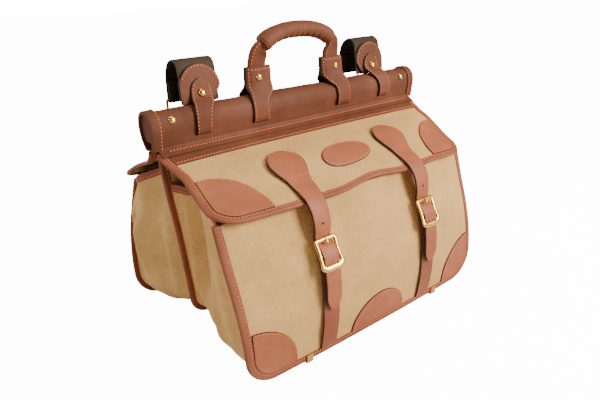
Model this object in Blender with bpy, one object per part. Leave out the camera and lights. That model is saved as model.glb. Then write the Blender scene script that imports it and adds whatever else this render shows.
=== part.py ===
"""A canvas and leather double-flap bag with a top handle, as separate sewn pieces.

Units are metres and +Z is up. The bag's long side lies along X and its front faces -Y.
The bag is modelled about its middle panel, and SET_FORWARD then moves all of it, so
that the origin lies on the floor under the middle of the whole object.
A place on a flap is (x, s), where s runs down the flap from its seam. A place on a
panel is (x, z). lift is the distance outwards from the middle of the cloth.
"""
import math

import bmesh
import bpy
import numpy as np
from mathutils import Matrix, Vector

# Driving dimensions of the bag
GAP = 0.0003
CANVAS = 0.0020
LEATHER = 0.0024
STRAP_THICK = 0.0030
BINDING_WIDE = 0.0100
BINDING_THICK = 0.0050
SET_FORWARD = 0.0276
FRONT = -1.0
REAR = 1.0

# Panel outlines: height, then half the length of the bag there
FRONT_HALF = ((0.0015, 0.2120), (0.066, 0.2140), (0.126, 0.2165), (0.206, 0.2185))
REAR_HALF = ((0.0015, 0.2120), (0.066, 0.2140), (0.121, 0.2125), (0.166, 0.2085), (0.206, 0.2030))
MIDDLE_HALF = ((0.033, 0.1990), (0.071, 0.2010), (0.118, 0.2045), (0.162, 0.2080), (0.206, 0.2130),
               (0.2692, 0.2185))
PANEL_BOTTOM = 0.0015
PANEL_TOP = 0.2030
PANEL_CORNER = 0.0420
MIDDLE_BOTTOM = 0.0330
MIDDLE_TOP = 0.2690
MIDDLE_CORNER = 0.0260
MIDDLE_Y = -0.0030

# How far a panel stands out from the middle: height, at its ends, extra at its centre
PANEL_OUT = ((0.0015, 0.1480, 0.0040), (0.056, 0.1510, 0.0120), (0.096, 0.1455, 0.0190),
             (0.126, 0.1385, 0.0220), (0.160, 0.1285, 0.0190), (0.206, 0.1165, 0.0120))
PANEL_BULGE_HALF = 0.218
PANEL_BULGE_POWER = 2.5

# Flap lines: share of the way down, then distance out and height in the middle and at the ends
FRONT_FLAP = ((0.000, 0.0165, 0.2679, 0.0165, 0.2679), (0.125, 0.0320, 0.2600, 0.0310, 0.2580),
              (0.250, 0.0500, 0.2540, 0.0460, 0.2505), (0.375, 0.0680, 0.2495, 0.0610, 0.2440),
              (0.500, 0.0860, 0.2425, 0.0760, 0.2340), (0.625, 0.1015, 0.2330, 0.0900, 0.2240),
              (0.750, 0.1160, 0.2220, 0.1045, 0.2160), (0.875, 0.1295, 0.2125, 0.1190, 0.2110),
              (1.000, 0.1410, 0.2025, 0.1330, 0.2060))
REAR_FLAP = ((0.000, 0.0010, 0.2680, 0.0010, 0.2680), (0.125, 0.0130, 0.2575, 0.0115, 0.2575),
             (0.250, 0.0320, 0.2515, 0.0270, 0.2490), (0.375, 0.0520, 0.2475, 0.0450, 0.2425),
             (0.500, 0.0710, 0.2435, 0.0630, 0.2370), (0.625, 0.0900, 0.2365, 0.0810, 0.2300),
             (0.750, 0.1075, 0.2265, 0.0970, 0.2225), (0.875, 0.1240, 0.2150, 0.1130, 0.2140),
             (1.000, 0.1380, 0.2025, 0.1290, 0.2060))
FLAP_TABLES = {FRONT: FRONT_FLAP, REAR: REAR_FLAP}
FLAP_LENGTHS = {FRONT: 0.146, REAR: 0.156}
FLAP_HALF = 0.2250
FLAP_CORNER = 0.0340
FLAP_DROP_HALF = 0.2225
FLAP_BAND = 0.0215
SEAM_START = 0.0030
CORNER_STEPS = 5

# Gussets: share of the way from the middle panel out, height of the top edge, swell high and low
FRONT_GUSSET = ((0.00, 0.2150, 0.000, 0.000), (0.12, 0.2120, -0.009, -0.004), (0.28, 0.2080, -0.004, 0.001),
                (0.45, 0.2035, 0.006, 0.005), (0.62, 0.1995, 0.010, 0.006), (0.80, 0.1965, 0.008, 0.004),
                (1.00, 0.1945, 0.000, 0.000))
REAR_GUSSET = ((0.00, 0.2400, 0.000, 0.000), (0.12, 0.2340, -0.004, -0.004), (0.28, 0.2280, 0.008, 0.001),
               (0.45, 0.2200, 0.016, 0.005), (0.62, 0.2120, 0.018, 0.006), (0.80, 0.2055, 0.011, 0.004),
               (1.00, 0.1985, 0.000, 0.000))
GUSSET_INSET = 0.0080
GUSSET_EDGE_HIGH = 0.0090
GUSSET_EDGE_THICK = 0.0044
GUSSET_EDGE_TUCK = 0.0014
PANEL_LEAN = 0.32

# Rail: the padded bar on top of the middle panel, as an outline from front neck to rear neck
RAIL_HALF = 0.2270
RAIL_LINE = ((-0.0165, 0.2695), (-0.0190, 0.2830), (-0.0212, 0.2970), (-0.0190, 0.3075),
             (-0.0125, 0.3140), (-0.0040, 0.3160), (0.0050, 0.3140), (0.0110, 0.3070),
             (0.0125, 0.2970), (0.0105, 0.2860), (0.0050, 0.2760), (-0.0010, 0.2695))
RAIL_BAR_BOTTOM = 0.2800
RAIL_BAR_HALF = 0.2255
RAIL_EDGE = 0.0120
RAIL_STUD = (0.2000, -0.0198, 0.3050)

# Trim on the front
PATCH_THICK = 0.0016
PATCH_CLEAR = 0.0006
BADGE_CENTRE = (0.003, 0.0890)
BADGE_HALF = (0.0430, 0.0215)
FLAP_PATCH_REACH = (0.0680, 0.0715)
PANEL_PATCH_REACH = (0.0620, 0.0640)
BASE_PATCH_REACH = (0.0500, 0.0450)
CLIP_X = 0.1220
CLIP_WIDE = 0.0100
CLIP_HIGH = 0.0120
CLIP_THICK = 0.0012

# Front straps and buckles
STRAP_X = 0.0920
STRAP_HEAD_S = 0.0550
STRAP_HEAD_RADIUS = 0.0260
STRAP_TIP_RADIUS = 0.0125
STRAP_ON_FLAP = (0.0560, 0.0700, 0.0850, 0.1000, 0.1150, 0.1280)
STRAP_OVER_EDGE = ((0.1440, 0.2062), (0.1500, 0.1975), (0.1535, 0.1860), (0.1546, 0.1730),
                   (0.1537, 0.1645), (0.1541, 0.1582), (0.1622, 0.1512), (0.1674, 0.1440), (0.1693, 0.1330),
                   (0.1701, 0.1255), (0.1714, 0.1120), (0.1718, 0.0980), (0.1715, 0.0850),
                   (0.1708, 0.0725))
LOWER_STRAP_HALF = 0.0125
LOWER_STRAP_THICK = 0.0025
LOWER_STRAP_LINE = ((0.1566, 0.0120), (0.1592, 0.0220), (0.1620, 0.0350), (0.1652, 0.0600),
                    (0.1656, 0.0850), (0.1650, 0.1080), (0.1636, 0.1260), (0.1608, 0.1375),
                    (0.1602, 0.1440), (0.1600, 0.1475))
BUCKLE_TOP = (0.1583, 0.1610)
BUCKLE_BOTTOM = (0.1733, 0.1290)
BUCKLE_HALF = 0.0165
BUCKLE_WINDOW_HALF = 0.0130
BUCKLE_THICK = 0.0034
BUCKLE_ROD = 0.0013

# Handle, tabs, paddles and the strap behind
HANDLE_Y = -0.0120
GRIP_LINE = ((-0.0585, 0.3760), (-0.0500, 0.3820), (-0.0380, 0.3868), (-0.0200, 0.3908), (0.0, 0.3920),
             (0.0200, 0.3908), (0.0380, 0.3868), (0.0500, 0.3820), (0.0585, 0.3760))
GRIP_HALF = (0.0115, 0.0108)
# A handle leg's sections: x, y, z, half width, half thickness, turn of the width in degrees
LEG_ROWS = ((0.0588, -0.0120, 0.3758, 0.0090, 0.0060, 55.0), (0.0622, -0.0105, 0.3700, 0.0122, 0.0054, 32.0),
            (0.0640, -0.0072, 0.3620, 0.0140, 0.0048, 8.0), (0.0648, -0.0048, 0.3530, 0.0142, 0.0042, 0.0),
            (0.0652, -0.0045, 0.3400, 0.0136, 0.0036, 0.0), (0.0655, -0.0045, 0.3250, 0.0132, 0.0034, 0.0))
SLEEVE_FRONT = ((-0.0172, 0.2812), (-0.0200, 0.2825), (-0.0222, 0.2860), (-0.0230, 0.2925),
                (-0.0232, 0.2985), (-0.0212, 0.3085), (-0.0174, 0.3165), (-0.0132, 0.3260),
                (-0.0114, 0.3380), (-0.0108, 0.3500))
SLEEVE_REAR = ((0.0066, 0.2790), (0.0098, 0.2800), (0.0126, 0.2840), (0.0142, 0.2910), (0.0146, 0.2985),
               (0.0128, 0.3085), (0.0086, 0.3165), (0.0044, 0.3260), (0.0024, 0.3380), (0.0018, 0.3500))
SLEEVE_MIDDLE_Y = -0.0045
# Widths: height, inner edge, outer edge, both as distances from the middle of the bag
SLEEVE_WIDTHS = ((0.279, 0.0612, 0.0862), (0.300, 0.0612, 0.0862), (0.309, 0.0575, 0.0860),
                 (0.316, 0.0505, 0.0856), (0.323, 0.0465, 0.0853), (0.335, 0.0458, 0.0850),
                 (0.350, 0.0458, 0.0842))
TAB_FRONT = ((-0.0172, 0.2812), (-0.0200, 0.2825), (-0.0222, 0.2860), (-0.0230, 0.2925),
             (-0.0232, 0.2985), (-0.0210, 0.3085), (-0.0150, 0.3170), (-0.0078, 0.3225),
             (-0.0042, 0.3310), (-0.0036, 0.3380), (-0.0031, 0.3456))
TAB_WIDTHS = ((0.279, 0.1480, 0.1700), (0.300, 0.1478, 0.1700), (0.310, 0.1440, 0.1690),
              (0.318, 0.1375, 0.1668), (0.326, 0.1340, 0.1640), (0.333, 0.1345, 0.1630),
              (0.339, 0.1370, 0.1605), (0.343, 0.1405, 0.1570), (0.3456, 0.1455, 0.1520))
PADDLE_WIDTHS = ((0.3172, 0.1340, 0.1755), (0.3240, 0.1265, 0.1768), (0.3345, 0.1200, 0.1770))
PADDLE_CENTRE = (0.1485, 0.3345)
PADDLE_RADIUS = 0.0285
PADDLE_THICK = 0.0030
STRAP_END_HALF = 0.0260
STRAP_END_LINE = ((0.0013, 0.3230), (0.0022, 0.3370), (0.0033, 0.3520), (0.0062, 0.3630),
                  (0.0140, 0.3680), (0.0250, 0.3655), (0.0335, 0.3560), (0.0372, 0.3420),
                  (0.0382, 0.3290), (0.0382, 0.3190), (0.0372, 0.3166), (0.0350, 0.3156),
                  (0.0328, 0.3166), (0.0318, 0.3190), (0.0318, 0.3300), (0.0322, 0.3420))
RING_TOP = (0.0350, 0.3190, 0.0290)
RING_BOTTOM = (0.0362, 0.2965, 0.0285)
RING_WIRE = 0.0017
SHOULDER_HALF = 0.0250
SHOULDER_LIFT = 0.0026
SHOULDER_FIRST = ((0.0326, 0.2770), (0.0328, 0.2860), (0.0330, 0.2965), (0.0340, 0.2989),
                  (0.0362, 0.2999), (0.0384, 0.2989), (0.0394, 0.2965), (0.0408, 0.2850),
                  (0.0460, 0.2700), (0.0550, 0.2590))
SHOULDER_ON_FLAP = (0.0700, 0.0860, 0.1020, 0.1180, 0.1320, 0.1430)
# The free stretch: x, y, z, share of the quarter twist that is done
SHOULDER_DOWN = ((0.1485, 0.1475, 0.2010, 0.0), (0.1485, 0.1570, 0.1850, 0.0), (0.1485, 0.1660, 0.1600, 0.0),
                 (0.1485, 0.1720, 0.1300, 0.0), (0.1485, 0.1780, 0.0950, 0.1), (0.1470, 0.1840, 0.0600, 0.3),
                 (0.1400, 0.1910, 0.0320, 0.6), (0.1220, 0.1980, 0.0120, 0.85),
                 (0.0950, 0.2025, 0.0036, 1.0), (0.0500, 0.2050, 0.0018, 1.0), (0.0, 0.2055, 0.0015, 1.0))

COLOURS = {
    "canvas": ((0.60, 0.46, 0.28, 1.0), 0.9, 0.0),
    "leather": ((0.36, 0.16, 0.08, 1.0), 0.5, 0.0),
    "dark_webbing": ((0.06, 0.045, 0.03, 1.0), 0.7, 0.0),
    "brass": ((0.80, 0.62, 0.28, 1.0), 0.25, 1.0),
}


def clear_scene():
    for item in list(bpy.data.objects):
        bpy.data.objects.remove(item)


def add_material(name, slot):
    colour, roughness, metallic = COLOURS[slot]
    made = bpy.data.materials.new(name)
    made.use_nodes = True
    shader = made.node_tree.nodes["Principled BSDF"]
    shader.inputs["Base Color"].default_value = colour
    shader.inputs["Roughness"].default_value = roughness
    shader.inputs["Metallic"].default_value = metallic
    return made


def read_table(table, column, at):
    """One column of a table at any place: a cubic with the slopes of the rows on both sides."""
    rows = np.asarray(table, float)
    place, value = rows[:, 0], rows[:, column]
    at = np.clip(np.asarray(at, float), place[0], place[-1])
    slope = np.gradient(value, place)
    i = np.clip(np.searchsorted(place, at, side="right") - 1, 0, len(place) - 2)
    step = place[i + 1] - place[i]
    t = (at - place[i]) / step
    return ((1 + 2 * t) * (1 - t) ** 2 * value[i] + t * (1 - t) ** 2 * step * slope[i]
            + t * t * (3 - 2 * t) * value[i + 1] + t * t * (t - 1) * step * slope[i + 1])


def curve_through(points, samples):
    """Points at even steps along a smooth curve that passes through the given points."""
    points = np.asarray(points, float)
    length = np.concatenate(([0.0], np.cumsum(np.linalg.norm(np.diff(points, axis=0), axis=1))))
    table = np.column_stack((length, points))
    at = np.linspace(0.0, length[-1], samples)
    return np.column_stack([read_table(table, c + 1, at) for c in range(points.shape[1])])


def side_normals(line):
    """The left-hand normals of a line of 2-D points."""
    along = np.gradient(np.asarray(line, float), axis=0)
    along /= np.linalg.norm(along, axis=1)[:, None]
    return np.column_stack((-along[:, 1], along[:, 0]))


def panel_surface(x, z, lift, side):
    x, z = np.broadcast_arrays(np.asarray(x, float), np.asarray(z, float))
    swell = 1 - np.minimum(np.abs(x / PANEL_BULGE_HALF), 1.05) ** PANEL_BULGE_POWER
    out = read_table(PANEL_OUT, 1, z) + read_table(PANEL_OUT, 2, z) * swell
    return np.stack((x, side * (out + lift), z), axis=-1)


def flap_line(x, s, side):
    """Distance out and height of a flap: its middle line, blended to its end line by |x| cubed."""
    table, share = FLAP_TABLES[side], s / FLAP_LENGTHS[side]
    end = np.minimum(np.abs(x) / FLAP_DROP_HALF, 1.02) ** 3
    out = read_table(table, 1, share) * (1 - end) + read_table(table, 3, share) * end
    height = read_table(table, 2, share) * (1 - end) + read_table(table, 4, share) * end
    return out, height


def flap_surface(x, s, lift, side):
    x, s = np.broadcast_arrays(np.asarray(x, float), np.asarray(s, float))
    step = 0.002
    low = np.clip(s - step, 0, FLAP_LENGTHS[side])
    high = np.clip(s + step, 0, FLAP_LENGTHS[side])
    out_a, height_a = flap_line(x, low, side)
    out_b, height_b = flap_line(x, high, side)
    run, fall = out_b - out_a, height_b - height_a
    size = np.hypot(run, fall)
    past = s - np.clip(s, 0, FLAP_LENGTHS[side])
    out, height = flap_line(x, s, side)
    out = out + (lift * -fall + past * run) / size
    height = height + (lift * run + past * fall) / size
    return np.stack((x, side * out, height), axis=-1)


def finish_object(name, mesh, slot, hub):
    mesh.shade_smooth()
    mesh.set_sharp_from_angle(angle=math.radians(35))
    mesh.materials.append(add_material(name, slot))
    item = bpy.data.objects.new(name, mesh)
    bpy.context.scene.collection.objects.link(item)
    item.parent = hub
    return item


def solid(name, points, faces, slot, hub):
    """A closed body from points and faces, with its faces pointing out."""
    mesh = bpy.data.meshes.new(name)
    mesh.from_pydata([tuple(map(float, p)) for p in points], [], faces)
    work = bmesh.new()
    work.from_mesh(mesh)
    bmesh.ops.remove_doubles(work, verts=work.verts, dist=0.00002)
    bmesh.ops.triangulate(work, faces=[f for f in work.faces if len(f.verts) > 4])
    if work.calc_volume(signed=True) < 0:
        bmesh.ops.reverse_faces(work, faces=work.faces)
    work.to_mesh(mesh)
    work.free()
    return finish_object(name, mesh, slot, hub)


def wall(name, outer, inner, slot, hub):
    """A closed wall between two grids of the same size."""
    rows, columns = outer.shape[:2]
    points = np.concatenate((outer.reshape(-1, 3), inner.reshape(-1, 3)))
    index = np.arange(rows * columns).reshape(rows, columns)
    far = index + rows * columns
    faces = []
    for i in range(rows - 1):
        for j in range(columns - 1):
            faces.append((index[i, j], index[i + 1, j], index[i + 1, j + 1], index[i, j + 1]))
            faces.append((far[i, j], far[i, j + 1], far[i + 1, j + 1], far[i + 1, j]))
    edge = list(index[0, :]) + list(index[1:, -1]) + list(index[-1, -2::-1]) + list(index[-2:0:-1, 0])
    rim = list(far[0, :]) + list(far[1:, -1]) + list(far[-1, -2::-1]) + list(far[-2:0:-1, 0])
    for k in range(len(edge)):
        n = (k + 1) % len(edge)
        faces.append((edge[k], edge[n], rim[n], rim[k]))
    return solid(name, points, [tuple(int(v) for v in f) for f in faces], slot, hub)


def tube(name, rings, slot, hub, looped=False):
    """A closed body through rings of points. It ends in flat caps, or runs round as a loop."""
    count, sides = rings.shape[:2]
    faces = []
    for i in range(count if looped else count - 1):
        for j in range(sides):
            a, b, k = i * sides, ((i + 1) % count) * sides, (j + 1) % sides
            faces.append((a + j, b + j, b + k, a + k))
    if not looped:
        faces.append(tuple(range(sides)))
        faces.append(tuple((count - 1) * sides + j for j in range(sides - 1, -1, -1)))
    return solid(name, rings.reshape(-1, 3), faces, slot, hub)


def skin(name, outline, centre, place, low, high, slot, hub, shrinks=(1.0, 0.5)):
    """A flat piece laid on a surface: rings of its outline shrink to its centre, top and underside."""
    outline, centre = np.asarray(outline, float), np.asarray(centre, float)
    rings = [centre + share * (outline - centre) for share in shrinks]
    flat = np.concatenate(rings + [centre[None, :]])
    sides, last = len(outline), len(flat) - 1
    points = np.concatenate((place(flat, high), place(flat, low)))
    faces = []
    for under in (0, len(flat)):
        for r in range(len(rings) - 1):
            for j in range(sides):
                k = (j + 1) % sides
                a, b = under + r * sides, under + (r + 1) * sides
                quad = (a + j, a + k, b + k, b + j)
                faces.append(quad if under == 0 else quad[::-1])
        for j in range(sides):
            k, a = (j + 1) % sides, under + (len(rings) - 1) * sides
            fan = (a + j, a + k, under + last)
            faces.append(fan if under == 0 else fan[::-1])
    for j in range(sides):
        k = (j + 1) % sides
        faces.append((j, len(flat) + j, len(flat) + k, k))
    return solid(name, points, faces, slot, hub)


def u_outline(half_table, top, bottom, corner, inset, counts=(6, 4, 3)):
    """The edge of a panel from its left top down, round the bottom and up to its right top.
    Gives points (x, z) and outward directions."""
    n_side, n_corner, n_bottom = counts
    z_side = np.linspace(top, bottom + corner, n_side)
    side = np.column_stack((read_table(half_table, 1, z_side) - inset, z_side))
    centre = (float(read_table(half_table, 1, bottom + corner)) - corner, bottom + corner)
    turn = np.linspace(0, math.pi / 2, n_corner + 1)[1:]
    bend = np.column_stack((centre[0] + (corner - inset) * np.cos(turn),
                            centre[1] - (corner - inset) * np.sin(turn)))
    along = np.linspace(centre[0], 0, n_bottom + 1)[1:]
    base = np.column_stack((along, np.full(n_bottom, bottom + inset)))
    half = np.concatenate((side, bend, base))
    out = np.concatenate((np.tile((1.0, 0.0), (n_side, 1)), np.column_stack((np.cos(turn), -np.sin(turn))),
                          np.tile((0.0, -1.0), (n_bottom, 1))))
    flip = np.array((-1.0, 1.0))
    return np.concatenate((half * flip, half[-2::-1])), np.concatenate((out * flip, out[-2::-1]))


def panel_rows(half_table, top, bottom, corner, inset, counts=(7, 4)):
    """Rows of a panel from its top to its bottom: the height and half length of each."""
    line, _ = u_outline(half_table, top, bottom, corner, inset, counts + (1,))
    rows = line[-(counts[0] + counts[1]):][::-1]
    rows = rows[np.argsort(-rows[:, 1], kind="stable")]
    return rows[:, 1], rows[:, 0]


def binding_profile():
    """Section of a folded tape: distance out from the panel's edge, then distance off its middle."""
    half = BINDING_THICK / 2
    return ((-BINDING_WIDE, half * 0.86), (-0.0020, half), (0.0, half * 0.6),
            (0.0, -half * 0.6), (-0.0020, -half), (-BINDING_WIDE, -half * 0.86))


def add_panel(name, half_table, side, hub):
    inset = BINDING_WIDE + GAP
    z, half = panel_rows(half_table, PANEL_TOP, PANEL_BOTTOM, PANEL_CORNER, inset)
    x = half[:, None] * np.linspace(-1, 1, 9)
    grids = [panel_surface(x, z[:, None], lift, side) for lift in (CANVAS / 2, -CANVAS / 2)]
    return wall(name, grids[0], grids[1], "canvas", hub)


def add_panel_binding(name, half_table, side, hub):
    line, out = u_outline(half_table, PANEL_TOP, PANEL_BOTTOM, PANEL_CORNER, 0.0)
    rings = [panel_surface(line[:, 0] + a * out[:, 0], line[:, 1] + a * out[:, 1], b, side)
             for a, b in binding_profile()]
    return tube(name, np.stack(rings, axis=1), "leather", hub)


def add_middle(hub):
    inset = BINDING_WIDE + GAP
    z, half = panel_rows(MIDDLE_HALF, MIDDLE_TOP, MIDDLE_BOTTOM, MIDDLE_CORNER, inset)
    x = half[:, None] * np.linspace(-1, 1, 3)
    grids = [np.stack(np.broadcast_arrays(x, MIDDLE_Y + y, z[:, None]), axis=-1) for y in (-0.001, 0.001)]
    wall("middle_panel", grids[0], grids[1], "canvas", hub)
    line, out = u_outline(MIDDLE_HALF, MIDDLE_TOP - 0.006, MIDDLE_BOTTOM, MIDDLE_CORNER, 0.0)
    rings = [np.column_stack((line[:, 0] + a * out[:, 0], np.full(len(line), MIDDLE_Y + b),
                              line[:, 1] + a * out[:, 1])) for a, b in binding_profile()]
    tube("middle_binding", np.stack(rings, axis=1), "leather", hub)


def gusset_grid(half_table, table, side):
    """The gusset from the middle panel's edge to the outer panel's edge, with its soft swell."""
    first, out = u_outline(MIDDLE_HALF, table[0][1], MIDDLE_BOTTOM, MIDDLE_CORNER, GUSSET_INSET)
    last, _ = u_outline(half_table, table[-1][1], PANEL_BOTTOM, PANEL_CORNER, GUSSET_INSET)
    start = np.column_stack((first[:, 0], np.full(len(first), MIDDLE_Y + side * (BINDING_THICK / 2 + GAP)),
                             first[:, 1]))
    end = panel_surface(last[:, 0], last[:, 1], -(BINDING_THICK / 2 + GAP), side)
    away = np.column_stack((out[:, 0], np.zeros(len(out)), out[:, 1]))
    high = np.clip((first[:, 1] - 0.05) / 0.15, 0, 1)
    rows = []
    for share, top, swell_high, swell_low in table:
        row = start * (1 - share) + end * share
        straight = table[0][1] * (1 - share) + table[-1][1] * share
        row[:, 2] += (top - straight) * np.clip((row[:, 2] - 0.08) / (straight - 0.08), 0, 1)
        rows.append(row + away * (swell_high * high + swell_low * (1 - high))[:, None])
    return np.stack(rows, axis=1), away


def add_gusset(prefix, half_table, table, side, hub):
    outer, away = gusset_grid(half_table, table, side)
    wall(prefix + "_gusset", outer, outer - CANVAS * away[:, None, :], "canvas", hub)
    for word, row in (("left", 0), ("right", -1)):
        line = outer[row] - 0.5 * CANVAS * away[row] + np.array((0, 0, GAP))
        share = np.linspace(0, 1, len(line))
        line[:, 1] += side * GUSSET_EDGE_TUCK * (0.5 - share)
        across = away[row] * GUSSET_EDGE_THICK / 2
        upper = line + np.array((0, 0, GUSSET_EDGE_HIGH))
        upper[:, 1] -= side * PANEL_LEAN * GUSSET_EDGE_HIGH * share ** 4
        rings = [line - across, upper - 0.8 * across, upper + 0.8 * across, line + across]
        tube(f"{prefix}_gusset_edge_{word}", np.stack(rings, axis=1), "leather", hub)


def flap_half_at(s, side, inset):
    """Half the length of a flap at s, with rounded lower corners."""
    down = s - (FLAP_LENGTHS[side] - FLAP_CORNER)
    reach = FLAP_CORNER - inset
    arc = np.sqrt(np.clip(reach ** 2 - np.clip(down, 0, reach) ** 2, 0, None))
    return np.where(down > 0, FLAP_HALF - FLAP_CORNER + arc, FLAP_HALF - inset)


def add_flap(prefix, side, hub):
    inset = BINDING_WIDE + GAP
    bottom = FLAP_LENGTHS[side] - inset
    reach = FLAP_CORNER - inset
    turn = np.linspace(0, math.pi / 2, CORNER_STEPS + 1)
    s = np.concatenate((np.linspace(FLAP_BAND + GAP, bottom - reach, 7)[:-1], bottom - reach + reach * np.sin(turn)))
    x = flap_half_at(s, side, inset)[:, None] * np.linspace(-1, 1, 11)
    grids = [flap_surface(x, s[:, None], lift, side) for lift in (CANVAS / 2, -CANVAS / 2)]
    wall(prefix + "_flap", grids[0], grids[1], "canvas", hub)
    s = np.linspace(0.0004, FLAP_BAND, 4)
    x = (FLAP_HALF - inset) * np.linspace(-1, 1, 11) + 0 * s[:, None]
    grids = [flap_surface(x, s[:, None], lift, side) for lift in (CANVAS / 2 + 0.0004, -CANVAS / 2)]
    wall(prefix + "_flap_band", grids[0], grids[1], "leather", hub)


def flap_outline(side, start, inset, counts=(8, CORNER_STEPS, 4)):
    """The edge of a flap from its left seam end down, along the bottom and up to the right."""
    n_side, n_corner, n_bottom = counts
    length = FLAP_LENGTHS[side]
    s_side = np.linspace(start, length - FLAP_CORNER, n_side)
    turn = np.linspace(0, math.pi / 2, n_corner + 1)[1:]
    reach = FLAP_CORNER - inset
    half = np.concatenate((
        np.column_stack((np.full(n_side, FLAP_HALF - inset), s_side)),
        np.column_stack((FLAP_HALF - FLAP_CORNER + reach * np.cos(turn),
                         length - FLAP_CORNER + reach * np.sin(turn))),
        np.column_stack((np.linspace(FLAP_HALF - FLAP_CORNER, 0, n_bottom + 1)[1:],
                         np.full(n_bottom, length - inset)))))
    out = np.concatenate((np.tile((1.0, 0.0), (n_side, 1)), np.column_stack((np.cos(turn), np.sin(turn))),
                          np.tile((0.0, 1.0), (n_bottom, 1))))
    flip = np.array((-1.0, 1.0))
    return np.concatenate((half * flip, half[-2::-1])), np.concatenate((out * flip, out[-2::-1]))


def add_flap_binding(prefix, side, hub):
    line, out = flap_outline(side, SEAM_START, 0.0)
    rings = [flap_surface(line[:, 0] + a * out[:, 0], line[:, 1] + a * out[:, 1], b, side)
             for a, b in binding_profile()]
    tube(prefix + "_flap_binding", np.stack(rings, axis=1), "leather", hub)


def rail_ring(offset, samples=19):
    """The rail's section, offset outwards from the leather's outer face."""
    line = curve_through(RAIL_LINE, samples)
    ring = line + offset * side_normals(line)
    return np.column_stack((ring[:, 0], np.maximum(ring[:, 1], RAIL_LINE[0][1] - min(offset, 0.0))))


def along_x(ring, places):
    return np.stack([np.column_stack((np.full(len(ring), x), ring)) for x in places])


def add_rail(hub):
    outer = along_x(rail_ring(0.0), (-RAIL_HALF, RAIL_HALF))
    inner = along_x(rail_ring(-LEATHER), (-RAIL_HALF, RAIL_HALF))
    sides = outer.shape[1]
    points = np.concatenate((outer.reshape(-1, 3), inner.reshape(-1, 3)))
    faces = []
    for j in range(sides):
        k = (j + 1) % sides
        faces.append((j, sides + j, sides + k, k))
        faces.append((2 * sides + j, 2 * sides + k, 3 * sides + k, 3 * sides + j))
        faces.append((j, k, 2 * sides + k, 2 * sides + j))
        faces.append((sides + j, 3 * sides + j, 3 * sides + k, sides + k))
    cover = solid("rail_cover", points, faces, "leather", hub)
    cut_slots(cover, hub)
    ring = rail_ring(-LEATHER - 0.0005)
    ring[:, 1] = np.maximum(ring[:, 1], RAIL_BAR_BOTTOM)
    keep = np.concatenate(([True], np.linalg.norm(np.diff(ring, axis=0), axis=1) > 0.0003))
    tube("rail_bar", along_x(ring[keep], (-RAIL_BAR_HALF, RAIL_BAR_HALF)), "leather", hub)


def cut_slots(cover, hub):
    """Slots where the tongues of the sleeves and tabs go through the cover."""
    front, rear = (-0.0260, -0.0135, 0.2785, 0.2862), (0.0010, 0.0150, 0.2752, 0.2835)
    slots = [(0.0602, 0.0872) + front, (0.0602, 0.0872) + rear, (0.1470, 0.1710) + front]
    work = bmesh.new()
    for x0, x1, y0, y1, z0, z1 in slots:
        for mirror in (-1, 1):
            middle = Vector((mirror * (x0 + x1) / 2, (y0 + y1) / 2, (z0 + z1) / 2))
            size = Matrix.Diagonal((x1 - x0, y1 - y0, z1 - z0, 1.0))
            bmesh.ops.create_cube(work, size=1.0, matrix=Matrix.Translation(middle) @ size)
    mesh = bpy.data.meshes.new("slot_cutter")
    work.to_mesh(mesh)
    work.free()
    cutter = bpy.data.objects.new("slot_cutter", mesh)
    bpy.context.scene.collection.objects.link(cutter)
    cutter.parent = hub
    cutter.hide_render = True
    cutter.display_type = "WIRE"
    cut = cover.modifiers.new("slots", "BOOLEAN")
    cut.operation = "DIFFERENCE"
    cut.object = cutter


def add_rail_bindings(hub):
    """Tape over each end of the rail: it lies on the cover and turns in over its cut edge."""
    near, far = GAP, GAP + 0.0015
    lip, end = RAIL_HALF + GAP, RAIL_HALF + GAP + 0.0012
    start = RAIL_HALF + GAP - RAIL_EDGE
    profile = ((start, near), (start, far), (end, far), (end, -LEATHER), (lip, -LEATHER), (lip, near))
    for word, mirror in (("left", -1), ("right", 1)):
        rings = []
        for place, offset in profile:
            line = curve_through(RAIL_LINE, 19)
            ring = (line + offset * side_normals(line))[1:-1]
            rings.append(np.column_stack((np.full(len(ring), mirror * place), ring)))
        tube(f"rail_end_{word}", np.stack(rings, axis=1), "leather", hub)


def add_stud(name, place, facing, radius, hub):
    """A domed rivet head: a profile turned about its axis, seated on the leather."""
    profile = ((0.92, 0.0), (1.0, 0.10), (0.93, 0.28), (0.58, 0.44))
    turn = np.linspace(0, 2 * math.pi, 11)[:-1]
    facing = Vector(facing).normalized()
    turned = facing.to_track_quat("Z", "Y").to_matrix()
    base = np.array(Vector(place) + facing * GAP)
    rings = [np.column_stack((radius * r * np.cos(turn), radius * r * np.sin(turn),
                              np.full(len(turn), radius * h))) for r, h in profile]
    points = np.concatenate(rings + [np.array(((0, 0, radius * 0.5), (0, 0, 0)))])
    points = points @ np.array(turned).T + base
    sides, faces = len(turn), []
    for j in range(sides):
        k = (j + 1) % sides
        for i in range(len(profile) - 1):
            a, b = i * sides, (i + 1) * sides
            faces.append((a + j, a + k, b + k, b + j))
        top = (len(profile) - 1) * sides
        faces.append((top + j, top + k, len(points) - 2))
        faces.append((k, j, len(points) - 1))
    solid(name, points, faces, "brass", hub)


def add_studs(hub):
    for word, mirror in (("left", -1), ("right", 1)):
        x, y, z = RAIL_STUD
        add_stud(f"rail_stud_{word}", (mirror * x, y, z), (0, -1, 0.36), 0.0050, hub)
        add_stud(f"handle_stud_{word}", (mirror * 0.0672, -0.0129, 0.3370), (0, -1, 0.10), 0.0048, hub)
        add_stud(f"tab_stud_{word}", (mirror * 0.1495, -0.0073, 0.3285), (0, -0.93, 0.37), 0.0052, hub)


def ellipse_corner(corner_x, corner_s, reach, power=2.15, samples=11):
    """A rounded outline from (corner_x - reach) round to (corner_s - reach), for a corner patch."""
    turn = np.linspace(0, math.pi / 2, samples)
    return np.column_stack((corner_x - reach[0] * np.cos(turn) ** (2 / power),
                            corner_s - reach[1] * np.sin(turn) ** (2 / power)))


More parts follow.
